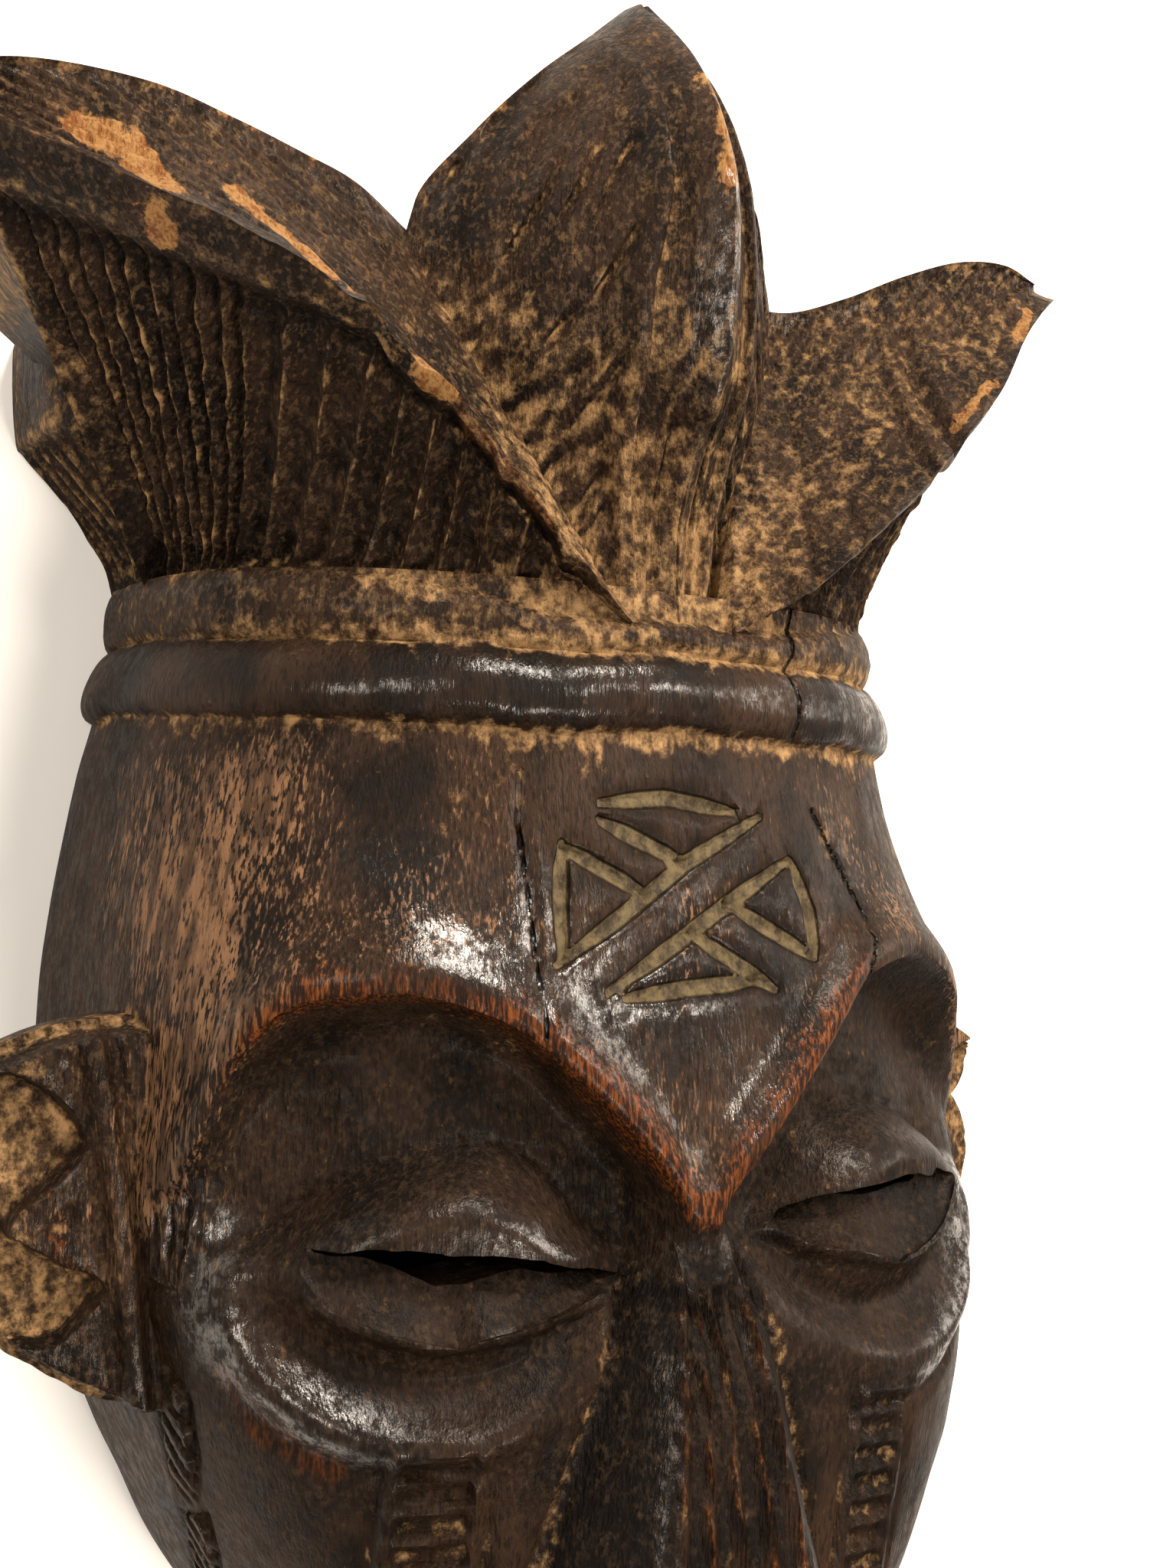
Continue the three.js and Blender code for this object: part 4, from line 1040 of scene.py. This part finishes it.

    # The eye openings, and the painted shade just under their upper edges.
    opening, painted_slit_shade = np.zeros(count), np.zeros(count)
    outward = np.abs(plan_x)
    for side in SIDES:
        below = through(UPPER_LID[side])(outward) - plan_y
        above = plan_y - through(LOWER_LID[side])(outward)
        here = smooth(-0.2, 0.6, below) * smooth(-0.2, 0.8, above) * front
        opening = np.maximum(opening, here * (side * plan_x > 10) * (outward < 71))
        near_slit = smooth(-0.8, 0.2, below) * smooth(8, 3.5, below) * (z > FACE_Z)
        painted_slit_shade = np.maximum(painted_slit_shade, near_slit * (side * plan_x > 14) * (outward < 68))

    # The shine of handled wood.
    forehead = smooth(70, 40, np.abs(x + 5)) * smooth(30, 16, y) * smooth(0, 4, above_brow) * front
    on_brow = smooth(15, 4, distance_to(x, y, BROW_GLOSS))
    on_keel = smooth(4.5, 2, distance_to(x, y, KEEL_GLOSS)) * smooth(80, 90, z)
    on_roll = smooth(7, 2, distance_to(-across, y, ROLL_CREST)) * front
    on_lid = smooth(3.5, 1, distance_to(x, y, LID_GLOSS)) * front
    lower_band = smooth(BAND_BOTTOM_Y, BAND_BOTTOM_Y + 2, y)
    lower_band = lower_band * smooth(BAND_JOINT_Y, BAND_JOINT_Y - 2.5, y)
    gloss = strongest([
        forehead * (0.1 + 0.15 * blotch + 0.9 * on_brow),
        lower_band * (0.4 + 0.4 * speck) * smooth(-78, -45, x),
        0.9 * on_keel,
        0.9 * on_roll * (0.15 + 0.85 * smooth(48, 62, across)),
        0.9 * on_lid,
        smooth(0.2, 0.9, broad) * 0.16 * (z > 40),
    ]) * (1 - opening) * (1 - 0.5 * brow)

    # Painted shade: darkest in the sockets, in the eye openings and under the upper lids, in the
    # bottoms of the flutes and on the flanks and root of the nose, where shade falls; in the flute
    # bottoms it also stands for dark patina.
    flank = smooth(half, half + 1, across) * smooth(foot + 0.5, foot - 0.8, across)
    shade = strongest([
        0.5 * socket,
        0.55 * opening,
        0.85 * painted_slit_shade,
        0.9 * cut_field * smooth(0.2, -0.5, middle),
        flank * smooth(-56, -62, y) * front,
        smooth(9, 3, np.hypot(x + 2, (y + 60) * 0.8)) * front,
    ])

    # Where the adze left the wood coarse, and where the black coat is thin. On the temple, paler lower
    # down the side, and on the far side of the forehead, the thin coat is also painted sheen.
    hacked = smooth(50, 56, y) * smooth(-0.6, 0.2, up)
    coarse = 0.9 * hacked + 0.3 * socket + 0.6 * upper_band + 0.5 * (across > 84)
    temple = smooth(46, 76, -x) * smooth(-72, -52, plan_y) * smooth(30, 20, y) * smooth(30, 50, z)
    temple = temple * (1 - smooth(-82, -88, x) * smooth(-2, -10, y))
    face = smooth(-4, 4, above_brow) * smooth(32, 28, y) * front
    thin_coat_and_sheen = face * (0.16 + 0.32 * blotch) + (0.2 + 0.2 * smooth(92, 80, z)) * temple
    thin_coat_and_sheen = thin_coat_and_sheen + 0.3 * smooth(50, 70, x) * face + 0.12 * (y < BAND_BOTTOM_Y) * (1 - socket)

    behind = smooth(0.2, -0.3, up) * smooth(30, 5, z)
    mark_distance = np.min([stroke_distance(x, y, stroke) for stroke in MARK_STROKES], axis=0)
    crack_distance = np.min([distance_to(x, y, crack) for crack in CRACKS], axis=0)
    for name, values in (
        ("coarse", coarse),
        ("thin_coat_and_sheen", thin_coat_and_sheen),
        ("dust", dust * (1 - 0.5 * behind)),
        ("rub", rub * (1 - bare)),
        ("bare", bare),
        ("gloss", gloss),
        ("shade", shade),
        ("mark", (1 - mark_distance / MARK_REACH) * (z > BROW_Z)),
        ("crack", (1 - crack_distance / CRACK_REACH) * (z > BROW_Z)),
    ):
        layer = mesh.attributes.new(name, "FLOAT", "POINT")
        layer.data.foreach_set("value", np.clip(values, 0, 1).astype(np.float32))


# Settings that all nodes of a kind have here.
NODE_SETTINGS = {
    "MapRange": {"interpolation_type": "SMOOTHSTEP"},
    "Mix": {"data_type": "RGBA"},
}


def node(tree, kind, *feeds, **values):
    """Adds a shader node with its settings and links.

    Feeds fill its open inputs in order, and a named value goes to the setting or the input
    of that name. Each is a number, a colour, a node's output, or a node for its first output.
    """
    made = tree.nodes.new("ShaderNode" + kind)
    values = NODE_SETTINGS.get(kind, {}) | values
    for key in [key for key in values if hasattr(made, key)]:
        setattr(made, key, values.pop(key))
    in_order = zip([socket for socket in made.inputs if socket.enabled], feeds)
    by_name = [(made.inputs[key.replace("_", " ")], feed) for key, feed in values.items()]
    for socket, feed in [*in_order, *by_name]:
        if isinstance(feed, bpy.types.Node):
            feed = next(output for output in feed.outputs if output.enabled)
        if isinstance(feed, bpy.types.NodeSocket):
            tree.links.new(feed, socket)
        else:
            socket.default_value = feed
    return made


# Noise with bumps of a real size in millimetres along x, y and z, then its detail and
# roughness. The fibres and pores of dense hardwood are about 0.2 mm wide, too fine to
# show, so they are drawn three to five times as coarse.
WOOD_PATTERNS = [
    ((0.6, 3.6, 0.6), 3.0, 0.6),  # fibres
    ((2.6, 20.0, 2.6), 4.0, 0.6),  # strands, which are bundles of fibres
    ((1.1, 1.6, 1.1), 2.0, 0.6),  # pores
    ((15.0, 24.0, 15.0), 5.0, 0.65),  # clouds of thicker and thinner coat
    ((2.6, 3.4, 2.6), 5.0, 0.7),  # crust of old oil and dirt
]
BUMP_HEIGHT = 0.001


def wood_material(settings):
    """Dense hardwood, adze-cut and blackened, then oiled and rubbed by long handling.

    The eye gets a nearly black brown, fine upright fibres, red-brown rubbed edges,
    tan dust in every cut, yellow wood where it chipped, and a soft shine on bulges.
    Painted shade darkens the sockets, the eye slits, the flute bottoms and the nose's
    flanks and root, and painted light makes the flute ridges, the temple and the far
    forehead paler.
    """
    made = bpy.data.materials.new("blackened_hardwood")
    made.use_nodes = True
    tree = made.node_tree
    tree.nodes.clear()
    place = node(tree, "TexCoord").outputs["Object"]
    patterns = []
    for size, detail, roughness in WOOD_PATTERNS:
        scaled = node(tree, "Mapping", place, Scale=[PER_METRE / s for s in size])
        patterns.append(node(tree, "TexNoise", scaled, Scale=1.0, Detail=detail, Roughness=roughness))
    fibres, strands, pores, clouds, crust = patterns
    names = ("dust", "rub", "bare", "gloss", "shade", "coarse", "thin_coat_and_sheen", "mark", "crack")
    dust, rub, bare, gloss, shade, coarse, thin_coat_and_sheen, groove, crack = (
        node(tree, "Attribute", attribute_name=name).outputs["Fac"] for name in names
    )

    def broken(amount, grain, low, high):
        """A mark that is whole where it is strong and breaks up into the grain where it is weak."""
        grain = node(tree, "Math", grain, 2.0, operation="MULTIPLY")
        return node(tree, "MapRange", node(tree, "Math", amount, grain, operation="ADD"), low, high)

    peeled = broken(bare, crust, 1.42, 1.72)
    cut = node(tree, "MapRange", groove, 0.68, 0.78)
    split = node(tree, "MapRange", crack, 0.84, 0.93)
    gaps = node(tree, "MapRange", fibres, 0.38, 0.5, 0.6, 0.0)
    pits = node(tree, "MapRange", pores, 0.5, 0.66, 0.0, 0.55)
    crumbs = node(tree, "Math", coarse, pits, operation="MULTIPLY")
    painted_shade_share = node(tree, "Math", shade, 0.93, operation="MULTIPLY")
    grain = node(tree, "Math", fibres, strands, operation="ADD")
    grain = node(tree, "Math", grain, 0.5, operation="MULTIPLY")

    # Two-tone colours: the pattern that varies each, its range, and the two tones.
    tones = [
        (clouds, 0.35, 0.65, settings.coat_dark, settings.coat_brown),
        (strands, 0.4, 0.62, linear("#3a2a1e"), linear("#6c4f38")),
        (fibres, 0.42, 0.66, linear("#1d0e07"), settings.rubbed),
        (crust, 0.35, 0.65, linear("#4b3826"), settings.dust),
        (grain, 0.4, 0.58, linear("#5f3719"), settings.bare_wood),
        (crust, 0.35, 0.65, linear("#2c241b"), linear("#574b35")),
    ]
    coat, streaks, red, dusty, raw, dusty_cut = (
        node(tree, "Mix", node(tree, "MapRange", pattern, low, high), tuple(dark), tuple(light))
        for pattern, low, high, dark, light in tones
    )
    # Painted shade: near black, a little browner where the crust and the pores meet.
    lumps = node(tree, "MapRange", crust, 0.4, 0.65)
    specks = node(tree, "MapRange", pores, 0.4, 0.6)
    painted_shade_tone = node(tree, "Math", lumps, specks, operation="MULTIPLY")
    painted_shade_tone = node(tree, "Mix", painted_shade_tone, linear("#080504"), linear("#281e15"))

    # Layers over the coat: where each shows, and its colour. The forehead mark keeps its
    # dust inside, and its rims and the cracks are black.
    layers = [
        # The thin coat's streaks, with painted sheen on the temple and the far forehead.
        (broken(thin_coat_and_sheen, fibres, 1.45, 1.72), streaks),
        (gaps, linear("#070504")),
        (crumbs, linear("#54402c")),
        (broken(rub, crust, 1.2, 1.9), red),
        # Painted shade in the sockets, the eye slits, the flute bottoms and on the nose.
        (painted_shade_share, painted_shade_tone),
        # Dust, and painted light on the ridges of the flutes.
        (broken(dust, crust, 1.22, 2.0), dusty),
        (peeled, raw),
        (node(tree, "MapRange", groove, 0.6, 0.7, 0.0, 0.5), linear("#0e0906")),
        (cut, dusty_cut),
        (split, linear("#080503")),
    ]
    colour = coat
    for share, above in layers:
        colour = node(tree, "Mix", share, colour, above)

    dull = node(tree, "Math", dust, 0.3, operation="MULTIPLY")
    matt = node(tree, "MapRange", crust, 0.35, 0.65, 0.45, 0.7)
    roughness = node(tree, "Math", matt, dull, operation="ADD")
    height = node(tree, "Math", fibres, 0.4, operation="MULTIPLY")
    crumbly = node(tree, "Math", coarse, 0.2, operation="ADD")
    reliefs = [(strands, 0.5), (crust, crumbly), (cut, -0.9), (split, -1.2), (peeled, -0.25)]
    for relief, amount in reliefs:
        step = node(tree, "Math", relief, amount, operation="MULTIPLY")
        height = node(tree, "Math", height, step, operation="ADD")
    bump = node(tree, "Bump", Height=height, Strength=1.0, Distance=BUMP_HEIGHT)
    # The shine lies over the grain like oil, so it follows it only partly.
    oiled = node(tree, "Bump", Height=height, Strength=0.3, Distance=BUMP_HEIGHT)
    clean = node(tree, "Math", 1.0, broken(dust, crust, 1.3, 1.7), operation="SUBTRACT")
    filled = node(tree, "MapRange", pores, 0.34, 0.5, 0.3, 1.0)
    filled = node(tree, "Math", filled, cut, operation="SUBTRACT")
    patchy = node(tree, "MapRange", crust, 0.4, 0.56, 0.04, 1.0)
    polish = gloss
    for share in (clean, filled, patchy):
        polish = node(tree, "Math", polish, share, operation="MULTIPLY")
    shader = node(
        tree,
        "BsdfPrincipled",
        Base_Color=colour,
        Roughness=roughness,
        Normal=bump,
        Metallic=0.0,
        Specular_IOR_Level=0.06,
        Coat_Weight=node(tree, "Math", polish, 0.02, operation="ADD"),
        Coat_Roughness=0.15,
        Coat_Normal=oiled,
    )
    node(tree, "OutputMaterial", Surface=shader)
    return made


def floor_material():
    """Matt pale paper, which only carries soft shade."""
    made = bpy.data.materials.new("pale_paper")
    made.use_nodes = True
    shader = made.node_tree.nodes["Principled BSDF"]
    shader.inputs["Base Color"].default_value = linear("#fbfaf8")
    shader.inputs["Roughness"].default_value = 0.9
    return made


def tint(name, description, code):
    """A colour that a user can change."""
    return FloatVectorProperty(
        name=name, description=description, size=4, subtype="COLOR", default=linear(code)
    )


class MaskSettings(bpy.types.PropertyGroup):
    """Sizes and colours of the mask"""

    flutes: IntProperty(
        name="Flutes", description="Gouged flutes round each side leaf", default=17, min=8, max=30
    )
    flute_depth: FloatProperty(
        name="Flute depth", description="Depth of a flute", default=0.0032, unit="LENGTH"
    )
    coat_dark: tint("Dark coat", "Blackened wood", "#110b07")
    coat_brown: tint("Brown coat", "Thinner coat", "#2c1e14")
    rubbed: tint("Rubbed wood", "Red-brown where hands rubbed", "#5f3110")
    # The dust colour also stands for painted light on the ridges of the flutes.
    dust: tint("Dust", "Dust in the cuts", "#8a6c49")
    bare_wood: tint("Bare wood", "Chipped wood", "#86633b")
    lens: FloatProperty(
        name="Lens", description="Focal length on a 36 mm frame", default=42.1875, unit="CAMERA"
    )


class MASK_OT_carve(bpy.types.Operator):
    """Carve the mask from one block of wood"""

    bl_idname = "mask.carve"
    bl_label = "Carve mask"

    def execute(self, context):
        settings = context.scene.mask_settings
        piece = head()
        carve(piece, rear_block(), "UNION")
        for side in SIDES:
            carve(piece, leaf(side, settings), "UNION")
        carve(piece, front_leaf(), "UNION")
        for side in SIDES:
            carve(piece, ear(side), "UNION")
        carve(piece, hollow(), "DIFFERENCE")
        for side in SIDES:
            carve(piece, lid(side), "DIFFERENCE")
            carve(piece, slit(side), "DIFFERENCE")
        carve(piece, slab("under_side", (-300, -300, -200), (300, 300, 0)), "DIFFERENCE")
        if len(piece.data.polygons) < FEWEST_FACES:
            raise RuntimeError("the mask lost most of its wood in a cut")
        thin = piece.modifiers.new("thin_out", "DECIMATE")
        thin.ratio = min(1, MOST_TRIANGLES / sum(len(p.vertices) - 2 for p in piece.data.polygons))
        applied(piece)
        points = read_points(piece.data)
        low, high = np.array(CAD_BOX) / MM
        shift = np.array([NOSE_LINE_X, 0, 0])
        points = np.clip(points, low - shift + BOX_GAP, high - shift - BOX_GAP)
        points[:, 2] = np.where(points[:, 2] < PRESSED_FLAT, 0, points[:, 2])
        piece.data.vertices.foreach_set("co", points.astype(np.float32).ravel())
        finish_marks(piece)
        piece.data.transform(Matrix.Scale(MM, 4) @ Matrix.Translation((NOSE_LINE_X, 0, 0)))
        piece.data.shade_smooth()
        piece.data.set_sharp_from_angle(angle=SHARP_ANGLE)
        piece.name = "carved_mask"
        piece.data.name = "carved_mask"
        piece.data.materials.clear()
        piece.data.materials.append(wood_material(settings))
        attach(piece, "root")
        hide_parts("mask")
        return {"FINISHED"}


# Where the photograph was taken from, in metres, and how the camera was turned, in radians.
CAMERA_PLACE = (-0.17737, 0.016, 0.3717)
CAMERA_YAW, CAMERA_PAN = math.radians(29.4), math.radians(-2.1)
CAMERA_PITCH, CAMERA_ROLL = 0.02, 0.042
FLOOR_HALF = 4.0
LAMP_AIM = Vector((0, 0, 0.05))
LAMPS = [  # name, place, width, watts
    ("high_window", (0.2, 0.98, 0.82), 0.32, 26),
    ("front_window", (0.15, -0.42, 1.15), 0.25, 11),
    ("upper_window", (0.64, 0.45, 1.06), 0.2, 7),
    ("far_window", (0.95, 0.3, 0.55), 0.5, 9),
    ("side_window", (-0.98, 0.38, 1.02), 0.4, 15),
]
ROOM_LIGHT = 0.35


def camera_matrix():
    """Where the camera stands and how it is turned: round the mask, then about its own axes."""
    right = Vector((math.cos(CAMERA_YAW), 0, math.sin(CAMERA_YAW)))
    up = Vector((0, 1, 0))
    back = Vector((-math.sin(CAMERA_YAW), 0, math.cos(CAMERA_YAW)))
    pan = Matrix.Rotation(CAMERA_PAN, 3, up)
    right, back = pan @ right, pan @ back
    pitch = Matrix.Rotation(CAMERA_PITCH, 3, right)
    up, back = pitch @ up, pitch @ back
    roll = Matrix.Rotation(CAMERA_ROLL, 3, back)
    right, up = roll @ right, roll @ up
    turned = Matrix((right, up, back)).transposed().to_4x4()
    return Matrix.Translation(CAMERA_PLACE) @ turned


class MASK_OT_stage(bpy.types.Operator):
    """Set the floor, the soft light and the camera"""

    bl_idname = "mask.stage"
    bl_label = "Set stage"

    def execute(self, context):
        scene = context.scene
        mesh = bpy.data.meshes.new("floor")
        corners = [(FLOOR_HALF * i, FLOOR_HALF * j, 0) for i, j in ((-1, -1), (1, -1), (1, 1), (-1, 1))]
        mesh.from_pydata(corners, [], [(0, 1, 2, 3)])
        mesh.materials.append(floor_material())
        ground = bpy.data.objects.new("floor", mesh)
        scene.collection.objects.link(ground)
        for name, spot, width, watts in LAMPS:
            data = bpy.data.lights.new(name, "AREA")
            data.shape = "SQUARE"
            data.size = width
            data.energy = watts
            data.color = linear("#fff3e4")[:3]
            lamp = bpy.data.objects.new(name, data)
            lamp.location = spot
            lamp.rotation_mode = "QUATERNION"
            lamp.rotation_quaternion = (LAMP_AIM - Vector(spot)).to_track_quat("-Z", "Y")
            scene.collection.objects.link(lamp)
        world = bpy.data.worlds.new("pale_room")
        world.use_nodes = True
        light = world.node_tree.nodes["Background"].inputs
        light["Color"].default_value = linear("#f8f4ee")
        light["Strength"].default_value = ROOM_LIGHT
        scene.world = world
        scene.view_settings.view_transform = "Standard"
        data = bpy.data.cameras.new("camera")
        data.sensor_width = 36
        data.lens = scene.mask_settings.lens
        data.clip_start = 0.01
        camera = bpy.data.objects.new("camera", data)
        camera.matrix_world = camera_matrix()
        scene.collection.objects.link(camera)
        scene.camera = camera
        return {"FINISHED"}


class MASK_PT_panel(bpy.types.Panel):
    """Lists the steps that make the mask"""

    bl_idname = "MASK_PT_panel"
    bl_label = "Mask"
    bl_space_type = "VIEW_3D"
    bl_region_type = "UI"
    bl_category = "Mask"

    def draw(self, context):
        settings = context.scene.mask_settings
        for name in MaskSettings.__annotations__:
            self.layout.prop(settings, name)
        for step in STEPS:
            self.layout.operator(step.bl_idname)


STEPS = (MASK_OT_carve, MASK_OT_stage)
CLASSES = (MaskSettings, *STEPS, MASK_PT_panel)


def register():
    for entry in CLASSES:
        bpy.utils.register_class(entry)
    bpy.types.Scene.mask_settings = PointerProperty(type=MaskSettings)


def unregister():
    del bpy.types.Scene.mask_settings
    for entry in reversed(CLASSES):
        bpy.utils.unregister_class(entry)


def main():
    register()
    bpy.ops.mask.carve()
    bpy.ops.mask.stage()


if __name__ == "__main__":
    main()
